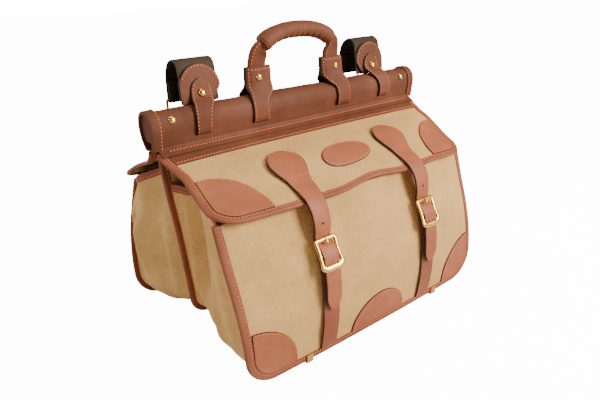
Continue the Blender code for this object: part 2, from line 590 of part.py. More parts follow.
def add_flap_trim(hub):
    """The corner patches and the plain oval badge on the front flap."""
    inset = BINDING_WIDE + PATCH_CLEAR
    low = CANVAS / 2 + PATCH_CLEAR
    length = FLAP_LENGTHS[FRONT]
    curve = ellipse_corner(FLAP_HALF - inset, length - inset, FLAP_PATCH_REACH)
    reach = FLAP_CORNER - inset
    turn = np.linspace(0, math.pi / 2, CORNER_STEPS + 1)
    bend = np.column_stack((FLAP_HALF - FLAP_CORNER + reach * np.cos(turn),
                            length - FLAP_CORNER + reach * np.sin(turn)))
    outline = np.concatenate((curve, bend))
    centre = outline.mean(axis=0) + np.array((0.004, 0.004))
    place = lambda flat, lift: flap_surface(flat[:, 0], flat[:, 1], lift, FRONT)
    for word, mirror in (("left", -1), ("right", 1)):
        flip = np.array((mirror, 1.0))
        skin(f"flap_patch_{word}", outline * flip, centre * flip, place, low, low + PATCH_THICK, "leather", hub)
    turn = np.linspace(0, 2 * math.pi, 21)[:-1]
    oval = np.array(BADGE_CENTRE) + np.column_stack((np.cos(turn), np.sin(turn))) * np.array(BADGE_HALF)
    skin("oval_badge", oval, BADGE_CENTRE, place, low, low + 0.0022, "leather", hub)


def add_panel_trim(hub):
    """The lower corner patches and the half-round base patch."""
    inset = BINDING_WIDE + PATCH_CLEAR
    low = CANVAS / 2 + PATCH_CLEAR
    base = PANEL_BOTTOM + inset
    edge = float(read_table(FRONT_HALF, 1, PANEL_BOTTOM + PANEL_CORNER)) - inset
    curve = ellipse_corner(edge, 0.0, PANEL_PATCH_REACH)
    curve[:, 1] = base - curve[:, 1]
    reach = PANEL_CORNER - inset
    turn = np.linspace(0, math.pi / 2, 5)
    bend = np.column_stack((edge - reach + reach * np.cos(turn), base + reach - reach * np.sin(turn)))
    outline = np.concatenate((curve, bend))
    centre = outline.mean(axis=0) + np.array((0.004, -0.004))
    place = lambda flat, lift: panel_surface(flat[:, 0], flat[:, 1], lift, FRONT)
    for word, mirror in (("left", -1), ("right", 1)):
        flip = np.array((mirror, 1.0))
        skin(f"panel_patch_{word}", outline * flip, centre * flip, place, low, low + PATCH_THICK, "leather", hub)
    turn = np.linspace(0, math.pi, 13)
    half_round = np.column_stack((BASE_PATCH_REACH[0] * np.cos(turn), base + BASE_PATCH_REACH[1] * np.sin(turn)))
    skin("base_patch", half_round, (0.0, base + 0.4 * BASE_PATCH_REACH[1]), place, low, low + PATCH_THICK,
         "leather", hub)


def add_clips(hub):
    """Brass clips bent round the bottom binding. The bag stands on their flat undersides."""
    bottom = CLIP_THICK
    for place, side in (("front", FRONT), ("rear", REAR)):
        near = float(abs(panel_surface(CLIP_X, 0.006, BINDING_THICK / 2 + GAP, side)[1]))
        top = float(abs(panel_surface(CLIP_X, CLIP_HIGH, BINDING_THICK / 2 + GAP, side)[1]))
        under = float(abs(panel_surface(CLIP_X, 0.002, -BINDING_THICK / 2, side)[1]))
        line = ((under, bottom), (near, bottom), (top, CLIP_HIGH), (top + CLIP_THICK, CLIP_HIGH),
                (near + CLIP_THICK, 0.0006), (near + CLIP_THICK - 0.0006, 0.0), (under, 0.0))
        for word, mirror in (("left", -1), ("right", 1)):
            rings = [np.array([(mirror * CLIP_X + x, side * y, z) for y, z in line])
                     for x in (-CLIP_WIDE / 2, CLIP_WIDE / 2)]
            tube(f"{place}_clip_{word}", np.stack(rings), "brass", hub)


def strap_wall(name, line, half_at, centre_x, thick, side, slot, hub, columns=3, samples=0, tilt=None):
    """A strap of changing width along a line of (distance out, height) points."""
    line = curve_through(line, samples) if samples else np.asarray(line, float)
    normal = side_normals(line) * thick / 2
    length = np.concatenate(([0.0], np.cumsum(np.linalg.norm(np.diff(line, axis=0), axis=1))))
    low, high = half_at(length, length[-1])
    across = np.linspace(0, 1, columns)
    x = centre_x + low[:, None] * (1 - across) + high[:, None] * across
    shift = tilt(x, line) if tilt else 0.0
    grids = []
    for face in (line + normal, line - normal):
        grids.append(np.stack((x, side * np.broadcast_to(face[:, :1], x.shape),
                               np.broadcast_to(face[:, 1:], x.shape) + shift), axis=-1))
    return wall(name, grids[0], grids[1], slot, hub)


def flap_tilt(x, line):
    """How much lower the front flap is at x than in the strap's middle, fading out below the flap."""
    s = np.linspace(0.0, FLAP_LENGTHS[FRONT], 60)
    shift = np.zeros(x.shape)
    out_mid, height_mid = flap_line(np.full(len(s), STRAP_X), s, FRONT)
    for i, (out, height) in enumerate(line):
        fade = min(1.0, max(0.0, (height - 0.150) / 0.050))
        for j, place in enumerate(x[i]):
            out_here, height_here = flap_line(np.full(len(s), place), s, FRONT)
            lower = np.interp(out, out_here, height_here) - np.interp(out, out_mid, height_mid)
            shift[i, j] = fade * lower
    return shift


def upper_strap_half(length, total):
    """Half width: a round head, a waist that narrows to the strap's width, and a round tip."""
    table = ((0.0, STRAP_HEAD_RADIUS), (0.026, STRAP_HEAD_RADIUS), (0.036, 0.0235), (0.050, 0.0178),
             (0.070, 0.0152), (0.100, 0.0132), (0.125, STRAP_TIP_RADIUS), (0.300, STRAP_TIP_RADIUS))
    half = read_table(table, 1, length)
    near = np.clip(STRAP_HEAD_RADIUS - length, 0, None)
    head = np.sqrt(np.clip(STRAP_HEAD_RADIUS ** 2 - near ** 2, 0, None))
    far = np.clip(STRAP_TIP_RADIUS - (total - length), 0, None)
    tip = np.sqrt(np.clip(STRAP_TIP_RADIUS ** 2 - far ** 2, 0, None))
    half = np.maximum(np.minimum(half, np.minimum(np.where(near > 0, head, half), np.where(far > 0, tip, half))),
                      0.0035)
    return -half, half


def upper_strap_line():
    """The strap's middle line: over the flap and its edge, then through the buckle to the tip."""
    s = np.array(STRAP_ON_FLAP)
    lift = CANVAS / 2 + GAP + STRAP_THICK / 2 + np.interp(s, (0.115, 0.131), (0.0001, 0.0017))
    flat = flap_surface(np.full(len(s), STRAP_X), s, lift, FRONT)
    on_flap = np.column_stack((-flat[:, 1], flat[:, 2]))
    return np.concatenate((on_flap, STRAP_OVER_EDGE))


def add_straps(hub):
    for word, mirror in (("left", -1), ("right", 1)):
        strap_wall(f"upper_strap_{word}", upper_strap_line(), upper_strap_half, mirror * STRAP_X, STRAP_THICK,
                   FRONT, "leather", hub, columns=3, samples=30, tilt=flap_tilt)
        even = lambda length, total: (np.full(len(length), -LOWER_STRAP_HALF), np.full(len(length), LOWER_STRAP_HALF))
        strap_wall(f"lower_strap_{word}", LOWER_STRAP_LINE, even, mirror * STRAP_X, LOWER_STRAP_THICK,
                   FRONT, "leather", hub, columns=2, samples=15)
        add_buckle(f"buckle_{word}", mirror * STRAP_X, hub)


def buckle_frame_rings():
    """Rings round the frame, in its own plane: x across, y up the frame, z out of it."""
    high = math.dist(BUCKLE_TOP, BUCKLE_BOTTOM) / 2
    outer = ((BUCKLE_HALF - 0.0010, high + 0.0018), (0.0, high + 0.0018), (-BUCKLE_HALF + 0.0010, high + 0.0018),
             (-BUCKLE_HALF + 0.0006, 0.0), (-BUCKLE_HALF - 0.0008, -high + 0.0010), (-0.0130, -high - 0.0024),
             (0.0, -high - 0.0034), (0.0130, -high - 0.0024), (BUCKLE_HALF + 0.0008, -high + 0.0010),
             (BUCKLE_HALF - 0.0006, 0.0))
    w = BUCKLE_WINDOW_HALF
    inner = ((w, high - 0.0012), (0.0, high - 0.0012), (-w, high - 0.0012), (-w, 0.0), (-w, -high + 0.0028),
             (-w + 0.0005, -high + 0.0022), (0.0, -high + 0.0018), (w - 0.0005, -high + 0.0022),
             (w, -high + 0.0028), (w, 0.0))
    t = BUCKLE_THICK / 2
    rings = []
    for (ox, oy), (ix, iy) in zip(outer, inner):
        mx, my = (ox + ix) / 2, (oy + iy) / 2
        ring = ((ox, oy, -t * 0.6), (ox, oy, t * 0.4), (mx, my, t), (ix, iy, t * 0.4), (ix, iy, -t * 0.6), (mx, my, -t))
        rings.append(ring)
    return np.array(rings)


def add_buckle(name, centre_x, hub):
    """A cast frame with a rod across its back and a pin that rests on its top bar."""
    top, bottom = Vector((centre_x, -BUCKLE_TOP[0], BUCKLE_TOP[1])), Vector((centre_x, -BUCKLE_BOTTOM[0], BUCKLE_BOTTOM[1]))
    up = (top - bottom).normalized()
    across = Vector((1, 0, 0))
    out = across.cross(up)
    turned = np.array((across, up, out))
    middle = np.array((top + bottom) / 2)
    frame = tube(name, buckle_frame_rings() @ turned + middle, "brass", hub, looped=True)
    turn = np.linspace(0, 2 * math.pi, 7)[:-1]
    reach = BUCKLE_WINDOW_HALF + 0.0015
    rod = np.stack([np.column_stack((np.full(6, x), BUCKLE_ROD * np.cos(turn), BUCKLE_ROD * np.sin(turn) - 0.0026))
                    for x in (-reach, reach)])
    high = (top - bottom).length / 2
    pin_line = ((0.0030, 0.0037), (0.0090, 0.0034), (high + 0.0008, 0.0024))
    pin = np.stack([np.column_stack((0.0011 * np.cos(turn), np.full(6, y), 0.0011 * np.sin(turn) + z))
                    for y, z in pin_line])
    for word, rings in (("rod", rod), ("pin", pin)):
        extra = tube(f"{name}_{word}_guide", rings @ turned + middle, "brass", hub)
        extra.hide_render = True
        extra.display_type = "WIRE"
        join = frame.modifiers.new(word, "BOOLEAN")
        join.operation = "UNION"
        join.object = extra


def crowned_strap(name, line, widths, middle_y, mirror, crown, slot, hub, rows, columns=5):
    """A sleeve or tab: a strap up the rail whose edges may curl in to the middle plane."""
    line = curve_through(line, rows)
    normal = side_normals(line) * LEATHER / 2
    across = np.linspace(0, 1, columns)
    inner, outer = read_table(widths, 1, line[:, 1]), read_table(widths, 2, line[:, 1])
    x = mirror * (inner[:, None] * (1 - across) + outer[:, None] * across)
    curl = np.clip((line[:, 1] - 0.316) / 0.014, 0, 1)[:, None] * np.abs(2 * across - 1) ** 3 * crown
    reach = middle_y - line[:, :1] - np.sign(middle_y - line[:, :1]) * (LEATHER / 2 + GAP)
    grids = []
    for sign in (1, -1):
        y = line[:, :1] + curl * reach + sign * normal[:, :1]
        z = np.broadcast_to(line[:, 1:] + sign * normal[:, 1:], x.shape)
        grids.append(np.stack((x, np.broadcast_to(y, x.shape), z), axis=-1))
    return wall(name, grids[0], grids[1], slot, hub)


def add_handle(hub):
    turn = np.linspace(0, 2 * math.pi, 11)[:-1]
    line = curve_through(GRIP_LINE, 15)
    normal = side_normals(line)
    rings = [np.column_stack((x + GRIP_HALF[1] * np.sin(turn) * nx, HANDLE_Y + GRIP_HALF[0] * np.cos(turn),
                              z + GRIP_HALF[1] * np.sin(turn) * nz)) for (x, z), (nx, nz) in zip(line, normal)]
    tube("handle_grip", np.stack(rings), "leather", hub)
    for word, mirror in (("left", -1), ("right", 1)):
        rings = []
        for x, y, z, wide, thick, lean in LEG_ROWS:
            tilt = math.radians(lean)
            reach = wide * np.cos(turn)
            rings.append(np.column_stack((mirror * (x + reach * math.cos(tilt)), y + thick * np.sin(turn),
                                          z + reach * math.sin(tilt))))
        tube(f"handle_leg_{word}", np.stack(rings), "leather", hub)
        crowned_strap(f"sleeve_front_{word}", SLEEVE_FRONT, SLEEVE_WIDTHS, SLEEVE_MIDDLE_Y, mirror, 1.0,
                      "leather", hub, 13)
        crowned_strap(f"sleeve_rear_{word}", SLEEVE_REAR, SLEEVE_WIDTHS, SLEEVE_MIDDLE_Y, mirror, 1.0,
                      "leather", hub, 13)


def paddle_surface(flat, lift):
    lean = -0.0020 + 0.067 * (flat[:, 1] - PADDLE_WIDTHS[0][0])
    return np.column_stack((flat[:, 0], lean + lift, flat[:, 1]))


def add_tabs(hub):
    """Each tab goes through the rail and holds a paddle, and a strap end is sewn behind it."""
    for word, mirror in (("left", -1), ("right", 1)):
        crowned_strap(f"tab_{word}", TAB_FRONT, TAB_WIDTHS, 0.0, mirror, 0.0, "leather", hub, 15, columns=3)
        turn = np.linspace(0, math.pi, 11)
        top = np.array(PADDLE_CENTRE) + PADDLE_RADIUS * np.column_stack((np.cos(turn), np.sin(turn)))
        low = [(inner, z) for z, inner, outer in PADDLE_WIDTHS[1::-1]]
        back = [(outer, z) for z, inner, outer in PADDLE_WIDTHS[:2]]
        outline = np.concatenate((top, low, back)) * np.array((mirror, 1.0))
        skin(f"paddle_{word}", outline, (mirror * PADDLE_CENTRE[0], PADDLE_CENTRE[1] + 0.004), paddle_surface,
             PADDLE_THICK / 2, -PADDLE_THICK / 2, "leather", hub, shrinks=(1.0,))
        even = lambda length, total: (np.full(len(length), -STRAP_END_HALF), np.full(len(length), STRAP_END_HALF))
        strap_wall(f"strap_end_{word}", STRAP_END_LINE, even, mirror * PADDLE_CENTRE[0], 0.0020, REAR,
                   "dark_webbing", hub, columns=2)
        add_ring(f"strap_ring_{word}", mirror * PADDLE_CENTRE[0], hub)


def add_ring(name, centre_x, hub):
    """A brass ring, wide at the top for the strap end and narrow below for the shoulder strap."""
    (y0, z0, wide), (y1, z1, narrow) = RING_TOP, RING_BOTTOM
    cut = 0.0025
    path = ((-wide + cut, z0), (wide - cut, z0), (wide, z0 - cut), (narrow + 0.0006, z1 + cut), (narrow - cut, z1),
            (-narrow + cut, z1), (-narrow - 0.0006, z1 + cut), (-wide, z0 - cut))
    path = np.array(path)
    ahead, behind = np.roll(path, -1, axis=0), np.roll(path, 1, axis=0)
    along = ahead - behind
    along /= np.linalg.norm(along, axis=1)[:, None]
    side = np.column_stack((-along[:, 1], along[:, 0]))
    turn = np.linspace(0, 2 * math.pi, 7)[:-1]
    lean = (y1 - y0) / (z1 - z0)
    rings = []
    for (x, z), (nx, nz) in zip(path, side):
        reach = RING_WIRE * np.cos(turn)
        rings.append(np.column_stack((centre_x + x + reach * nx, y0 + lean * (z - z0) + RING_WIRE * np.sin(turn),
                                      z + reach * nz)))
    tube(name, np.stack(rings), "brass", hub, looped=True)


def shoulder_half_rows():
    """Centre, width direction and outward direction of the left half of the shoulder strap."""
    x = PADDLE_CENTRE[0]
    first = [(x, y, z, 0.0) for y, z in SHOULDER_FIRST]
    s = np.array(SHOULDER_ON_FLAP)
    lift = SHOULDER_LIFT + np.interp(s, (0.125, 0.143), (0.0, 0.0016))
    flat = flap_surface(np.full(len(s), x), s, lift, REAR)
    middle = [(px, py, pz, 0.0) for px, py, pz in flat]
    rows = np.array(first + middle + list(SHOULDER_DOWN))
    centre, twist = rows[:, :3], rows[:, 3:]
    along = np.gradient(centre, axis=0)
    along /= np.linalg.norm(along, axis=1)[:, None]
    width = (1 - twist) * np.array((-1.0, 0, 0)) + twist * np.array((0, 1.0, 0))
    width -= (width * along).sum(axis=1)[:, None] * along
    width /= np.linalg.norm(width, axis=1)[:, None]
    return centre, width, np.cross(along, width), len(first), len(middle)


def add_shoulder_strap(hub):
    """One webbing strap from ring to ring: down over the rear flap and round on the floor."""
    centre, width, out, n_first, n_flap = shoulder_half_rows()
    thick = 0.0010
    faces = []
    for sign in (1, -1):
        columns = [centre + a * SHOULDER_HALF * width + sign * thick * out for a in (-1.0, 1.0)]
        grid = np.stack(columns, axis=1)
        for i, s in enumerate(SHOULDER_ON_FLAP):
            across = PADDLE_CENTRE[0] - SHOULDER_HALF * np.array((-1.0, 1.0))
            lift = SHOULDER_LIFT + float(np.interp(s, (0.125, 0.143), (0.0, 0.0016)))
            grid[n_first + i] = flap_surface(across, np.full(2, s), lift + sign * thick, REAR)
        grid[-1, :, 0] = 0.0
        other = grid[-2::-1] * np.array((-1.0, 1.0, 1.0))
        faces.append(np.concatenate((grid, other)))
    wall("shoulder_strap", faces[0], faces[1], "dark_webbing", hub)


def main():
    clear_scene()
    hub = bpy.data.objects.new("bag", None)
    bpy.context.scene.collection.objects.link(hub)
    hub.location = (0.0, -SET_FORWARD, 0.0)
    add_middle(hub)
    sides = (("front", FRONT_HALF, FRONT_GUSSET, FRONT), ("rear", REAR_HALF, REAR_GUSSET, REAR))
    for prefix, half_table, gusset_table, side in sides:
        add_panel(prefix + "_panel", half_table, side, hub)
        add_panel_binding(prefix + "_binding", half_table, side, hub)
        add_gusset(prefix, half_table, gusset_table, side, hub)
        add_flap(prefix, side, hub)
        add_flap_binding(prefix, side, hub)
    add_rail(hub)
    add_rail_bindings(hub)
    add_flap_trim(hub)
    add_panel_trim(hub)
    add_clips(hub)
    add_straps(hub)
    add_handle(hub)
    add_tabs(hub)
    add_studs(hub)
    add_shoulder_strap(hub)


main()
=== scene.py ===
# %% [markdown]
# This lesson dresses a canvas and leather bag. The solids of the bag are loaded first, as
# a fixed frame. Each sewn piece is then worked out again as a fine surface with numpy.
# The same named sizes as in the solids keep every piece in its place.

# %% load the frame
import math

import bpy
import numpy as np
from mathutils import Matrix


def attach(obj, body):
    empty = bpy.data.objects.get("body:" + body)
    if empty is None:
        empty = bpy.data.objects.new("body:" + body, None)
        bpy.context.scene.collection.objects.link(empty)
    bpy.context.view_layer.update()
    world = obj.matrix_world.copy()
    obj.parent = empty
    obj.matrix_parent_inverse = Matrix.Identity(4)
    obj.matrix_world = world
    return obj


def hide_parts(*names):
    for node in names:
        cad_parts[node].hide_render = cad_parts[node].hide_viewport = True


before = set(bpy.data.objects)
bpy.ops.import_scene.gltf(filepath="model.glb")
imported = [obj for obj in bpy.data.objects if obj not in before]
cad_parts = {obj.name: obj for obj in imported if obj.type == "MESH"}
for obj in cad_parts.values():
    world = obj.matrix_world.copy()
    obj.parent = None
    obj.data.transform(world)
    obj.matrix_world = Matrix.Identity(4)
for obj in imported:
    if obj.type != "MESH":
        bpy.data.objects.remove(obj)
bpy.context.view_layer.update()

# %% [markdown]
# A bag maker starts from a few sizes: the thickness of the cloth and leather, the width of
# the edge tape, and the patterns of the panels. They are written here once. Distances out
# are measured from the middle of the bag, and SET_FORWARD moves the bag so that the middle
# of its box lies over the origin.

# %% sizes of the patterns
CANVAS = 0.0020
LEATHER = 0.0024
TAPE_WIDE = 0.0100
CANVAS_INSET = TAPE_WIDE - 0.0010
SET_FORWARD = 0.0276
FRONT, REAR = -1.0, 1.0
PANEL_BOTTOM, PANEL_TOP, PANEL_CORNER = 0.0015, 0.2030, 0.0420
MIDDLE_BOTTOM, MIDDLE_TOP, MIDDLE_CORNER, MIDDLE_Y = 0.0330, 0.2690, 0.0260, -0.0030
FLAP_HALF, FLAP_CORNER, FLAP_BAND = 0.2250, 0.0340, 0.0270
FLAP_LENGTHS = {FRONT: 0.146, REAR: 0.156}
# How far the front flap's edge bows up between the straps, and the share that the corners draw in
FLAP_BOW, FLAP_PULL = 0.0070, 0.032
# How far the front flap's right corner hangs below the left one
FLAP_DROOP = 0.0055
# Height, then half the length of the panel there
FRONT_HALF = ((0.0015, 0.2120), (0.066, 0.2140), (0.126, 0.2165), (0.206, 0.2185))
REAR_HALF = ((0.0015, 0.2120), (0.066, 0.2140), (0.121, 0.2125), (0.166, 0.2085), (0.206, 0.2030))
MIDDLE_HALF = ((0.033, 0.1990), (0.071, 0.2010), (0.118, 0.2045), (0.162, 0.2080), (0.206, 0.2130),
               (0.2692, 0.2185))
HALVES = (("front", FRONT_HALF, FRONT), ("rear", REAR_HALF, REAR))
HANDS = (("left", -1.0), ("right", 1.0))
# Height, distance out at the panel's ends, extra at its centre
PANEL_OUT = ((0.0015, 0.1480, 0.0040), (0.056, 0.1510, 0.0120), (0.096, 0.1455, 0.0190),
             (0.126, 0.1385, 0.0220), (0.160, 0.1285, 0.0190), (0.206, 0.1165, 0.0120))
# Share of the way down a flap, distance out and height in its middle, then at its ends
FLAPS = {
    FRONT: ((0.000, 0.0165, 0.2679, 0.0165, 0.2679), (0.125, 0.0320, 0.2600, 0.0310, 0.2580),
            (0.250, 0.0500, 0.2540, 0.0460, 0.2505), (0.375, 0.0680, 0.2495, 0.0610, 0.2440),
            (0.500, 0.0860, 0.2425, 0.0760, 0.2340), (0.625, 0.1015, 0.2330, 0.0900, 0.2240),
            (0.750, 0.1160, 0.2220, 0.1045, 0.2160), (0.875, 0.1295, 0.2125, 0.1190, 0.2110),
            (1.000, 0.1410, 0.2025, 0.1330, 0.2060)),
    REAR: ((0.000, 0.0010, 0.2680, 0.0010, 0.2680), (0.125, 0.0130, 0.2575, 0.0115, 0.2575),
           (0.250, 0.0320, 0.2515, 0.0270, 0.2490), (0.375, 0.0520, 0.2475, 0.0450, 0.2425),
           (0.500, 0.0710, 0.2435, 0.0630, 0.2370), (0.625, 0.0900, 0.2365, 0.0810, 0.2300),
           (0.750, 0.1075, 0.2265, 0.0970, 0.2225), (0.875, 0.1240, 0.2150, 0.1130, 0.2140),
           (1.000, 0.1380, 0.2025, 0.1290, 0.2060)),
}
# Share of the way out along a gusset, height of its top edge, its swell high up and low down
GUSSETS = {
    FRONT: ((0.00, 0.2150, 0.000, 0.000), (0.12, 0.2135, -0.009, -0.004), (0.28, 0.2125, -0.010, 0.001),
            (0.45, 0.2125, -0.006, 0.005), (0.62, 0.2125, -0.004, 0.006), (0.80, 0.2055, -0.003, 0.004),
            (0.90, 0.2000, -0.002, 0.002), (1.00, 0.1945, 0.000, 0.000)),
    REAR: ((0.00, 0.2400, 0.000, 0.000), (0.12, 0.2340, -0.004, -0.004), (0.28, 0.2280, 0.008, 0.001),
           (0.45, 0.2200, 0.016, 0.005), (0.62, 0.2120, 0.018, 0.006), (0.80, 0.2055, 0.011, 0.004),
           (1.00, 0.1985, 0.000, 0.000)),
}
print("panel height", round(PANEL_TOP - PANEL_BOTTOM, 4), "m")

# %% [markdown]
# The camera stands where the photographer stood: a little left of the front and above it.
# It is made first, so that every later render is framed in the same way. Its three
# directions were fitted to points of the bag that mirror each other.

# %% the camera
CAMERA_AT = (-0.48576, -0.61211 - SET_FORWARD, 0.43278)
CAMERA_RIGHT = (0.77092, -0.63481, -0.05192)
CAMERA_UP = (0.25732, 0.23585, 0.93710)
CAMERA_AHEAD = (0.58263, 0.73579, -0.34518)


def place_by_axes(item, right, up, back, at):
    """Links an object to the scene, with its own three axes and its place given."""
    bpy.context.scene.collection.objects.link(item)
    turned = np.eye(4)
    turned[:3] = np.column_stack((right, up, back, at))
    item.matrix_world = turned.T.tolist()


camera_data = bpy.data.cameras.new("photo_camera")
camera_data.lens = 33.23
camera_data.sensor_width = 36.0
camera = bpy.data.objects.new("photo_camera", camera_data)
place_by_axes(camera, CAMERA_RIGHT, CAMERA_UP, -np.array(CAMERA_AHEAD), CAMERA_AT)
bpy.context.scene.camera = camera
print("camera at", [round(v, 3) for v in camera.matrix_world.translation])

# %% [markdown]
# Every piece ends as a mesh, so one helper makes them all. It takes points and faces as whole arrays, turns
# the faces outwards if the enclosed volume comes out negative, and hides the solids that the new piece
# stands for. A piece can carry a second finish, dark for its dyed cut edge and for painted shade, and a UV
# map in metres along the cloth, so that a weave follows it.

# %% helpers for meshes
SHARP_FROM = math.radians(50)


def quads(rows, columns, wrap_rows=False, wrap_columns=False):
    """Corner numbers of the faces of a grid whose points are numbered row by row."""
    r = np.arange(rows if wrap_rows else rows - 1)[:, None]
    c = np.arange(columns if wrap_columns else columns - 1)[None, :]
    r2, c2 = (r + 1) % rows, (c + 1) % columns
    return np.stack(np.broadcast_arrays(r * columns + c, r2 * columns + c, r2 * columns + c2,
                                        r * columns + c2), axis=-1).reshape(-1, 4)


def enclosed_volume(points, faces):
    """The volume inside quads: the sum of the signed tetrahedra from the origin to both halves."""
    a, b, c, d = (points[faces[:, k]] for k in range(4))
    return float((np.cross(b, c) * a).sum() + (np.cross(c, d) * a).sum()) / 6


def sewn_piece(name, points, faces, finishes, stands_for=(), second=None, uv=None, caps=()):
    """A mesh object from arrays. second marks the faces that take the second finish."""
    points = np.asarray(points, float) - np.array((0.0, SET_FORWARD, 0.0))
    faces = np.asarray(faces, int)
    if enclosed_volume(points - points.mean(axis=0), faces) < 0:
        faces = faces[:, ::-1]
        caps = [cap[::-1] for cap in caps]
    mesh = bpy.data.meshes.new(name)
    mesh.from_pydata(points.tolist(), [], faces.tolist() + [list(cap) for cap in caps])
    for finish in finishes:
        mesh.materials.append(finish)
    if second is not None:
        index = np.zeros(len(mesh.polygons), int)
        index[:len(faces)][second] = 1
        mesh.polygons.foreach_set("material_index", index)
    corners = np.zeros(len(mesh.loops), int)
    mesh.loops.foreach_get("vertex_index", corners)
    flat = points[:, [0, 2]] if uv is None else np.asarray(uv, float)
    mesh.uv_layers.new(name="cloth").data.foreach_set("uv", flat[corners].ravel())
    mesh.shade_smooth()
    mesh.set_sharp_from_angle(angle=SHARP_FROM)
    piece = bpy.data.objects.new(name, mesh)
    bpy.context.scene.collection.objects.link(piece)
    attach(piece, "root")
    if stands_for:
        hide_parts(*stands_for)
    return piece


def wall_arrays(outer, inner, dye_and_shadow_sides=False):
    """A closed wall between two grids: points, faces and a mark for the faces of its cut edge.
    The sides flag also darkens the first and last columns of the face: partly edge dye run onto it, partly
    painted shadow along the cut edge."""
    rows, columns = outer.shape[:2]
    count = rows * columns
    face = quads(rows, columns)
    index = np.arange(count).reshape(rows, columns)
    edge = np.concatenate((index[0, :-1], index[:-1, -1], index[-1, :0:-1], index[:0:-1, 0]))
    after = np.roll(edge, -1)
    rim = np.stack((edge, after, after + count, edge + count), axis=-1)
    faces = np.concatenate((face, face[:, ::-1] + count, rim))
    mark = np.zeros(len(faces), bool)
    mark[2 * len(face):] = True
    # Painted shadow with edge dye: a dark band along both long edges of the face
    if dye_and_shadow_sides:
        mark[:len(face)].reshape(rows - 1, columns - 1)[:, [0, -1]] = True
    return np.concatenate((outer.reshape(-1, 3), inner.reshape(-1, 3))), faces, mark


def ring_arrays(rings, looped=False):
    """A skin through rings of points, with flat caps at both ends unless it runs round."""
    count, sides = rings.shape[:2]
    faces = quads(count, sides, wrap_rows=looped, wrap_columns=True)
    last = (count - 1) * sides
    caps = [] if looped else [list(range(sides)), [last + j for j in range(sides - 1, -1, -1)]]
    return rings.reshape(-1, 3), faces, caps


def add_wall(name, grids, finishes, stands_for=(), dye_and_shadow_sides=False, cloth=None):
    """A piece between two grids, whose cut edge takes the second finish if there is one.
    cloth holds the two distances along the cloth that its weave follows."""
    points, faces, mark = wall_arrays(*grids, dye_and_shadow_sides=dye_and_shadow_sides)
    uv = None if cloth is None else np.tile(np.column_stack([way.ravel() for way in cloth]), (2, 1))
    second = mark if len(finishes) > 1 else None
    return sewn_piece(name, points, faces, finishes, stands_for, second, uv)


def add_skin(name, rings, finish, stands_for=(), looped=False, uv=None):
    """A piece with one finish, whose skin runs through rings of points."""
    points, faces, caps = ring_arrays(rings, looped)
    return sewn_piece(name, points, faces, [finish], stands_for, uv=uv, caps=caps)


print("helpers ready")

# %% [markdown]
# A pattern table gives a size at a few places. Between them a cubic with the slopes of
# its neighbours keeps the line fair, as a bent ruler does. The same reading is used along
# a path to place points at even steps.

# %% helpers for curves
def read_table(table, column, at):
    """One column of a table at any place: a cubic with the slopes of the rows on both sides."""
    rows = np.asarray(table, float)
    place, value = rows[:, 0], rows[:, column]
    at = np.clip(np.asarray(at, float), place[0], place[-1])
    slope = np.gradient(value, place)
    i = np.clip(np.searchsorted(place, at, side="right") - 1, 0, len(place) - 2)
    step = place[i + 1] - place[i]
    t = (at - place[i]) / step
    return ((1 + 2 * t) * (1 - t) ** 2 * value[i] + t * (1 - t) ** 2 * step * slope[i]
            + t * t * (3 - 2 * t) * value[i + 1] + t * t * (t - 1) * step * slope[i + 1])


def run_length(points):
    """The distance travelled along a line of points."""
    return np.concatenate(([0.0], np.cumsum(np.linalg.norm(np.diff(points, axis=0), axis=1))))


def curve_through(points, samples):
    """Points at even steps along a smooth curve that passes through the given points."""
    points = np.asarray(points, float)
    table = np.column_stack((run_length(points), points))
    at = np.linspace(0.0, table[-1, 0], samples)
    return np.column_stack([read_table(table, c + 1, at) for c in range(points.shape[1])])


def read_line(length, points, at):
    """Points at given distances along a line whose running length is known, in straight steps."""
    return np.column_stack([np.interp(at, length, points[:, k]) for k in range(points.shape[1])])


def unit(directions):
    """Directions scaled to length 1."""
    return directions / np.linalg.norm(directions, axis=-1, keepdims=True)


def full_turn(count):
    """Angles at even steps once round a circle."""
    return np.linspace(0, 2 * math.pi, count, endpoint=False)


def arc(middle, reach, turn):
    """Points of an ellipse: middle + reach * (cos turn, sin turn)."""
    return np.asarray(middle) + np.asarray(reach) * np.column_stack((np.cos(turn), np.sin(turn)))


def as_grids(*values):
    """Numbers or arrays spread to one common shape."""
    return np.broadcast_arrays(*(np.asarray(value, float) for value in values))


def side_normals(line):
    """The left-hand normals of a line of 2-D points."""
    along = unit(np.gradient(np.asarray(line, float), axis=0))
    return np.column_stack((-along[:, 1], along[:, 0]))


def ease(value, low, high):
    """0 below low, 1 above high, and a smooth step between."""
    t = np.clip((np.asarray(value, float) - low) / (high - low), 0, 1)
    return t * t * (3 - 2 * t)


def ripple(u, v, seed, waves=6):
    """A soft uneven wave between about -1 and 1: a few sines whose directions the seed picks."""
    rng = np.random.default_rng(seed)
    total = 0.0
    for _ in range(waves):
        turn, pace, start = rng.uniform(0, math.pi), rng.uniform(18, 75), rng.uniform(0, 2 * math.pi)
        total = total + np.sin(pace * 2 * (u * math.cos(turn) + v * math.sin(turn)) + start)
    return total / math.sqrt(waves * 2)


print("ripple at the centre:", round(float(ripple(0.0, 0.0, 1)), 3))

# %% [markdown]
# A bag's panels and flaps are curved cloth, and most trim lies on them. So each is first
# a surface: a place on it goes in, with a distance above the cloth, and a point comes out.
# Patches, tapes and stitches are then laid on the surface and always fit. The dents are
# part of the surface, and fade out under the edge tape, where real cloth is held flat.

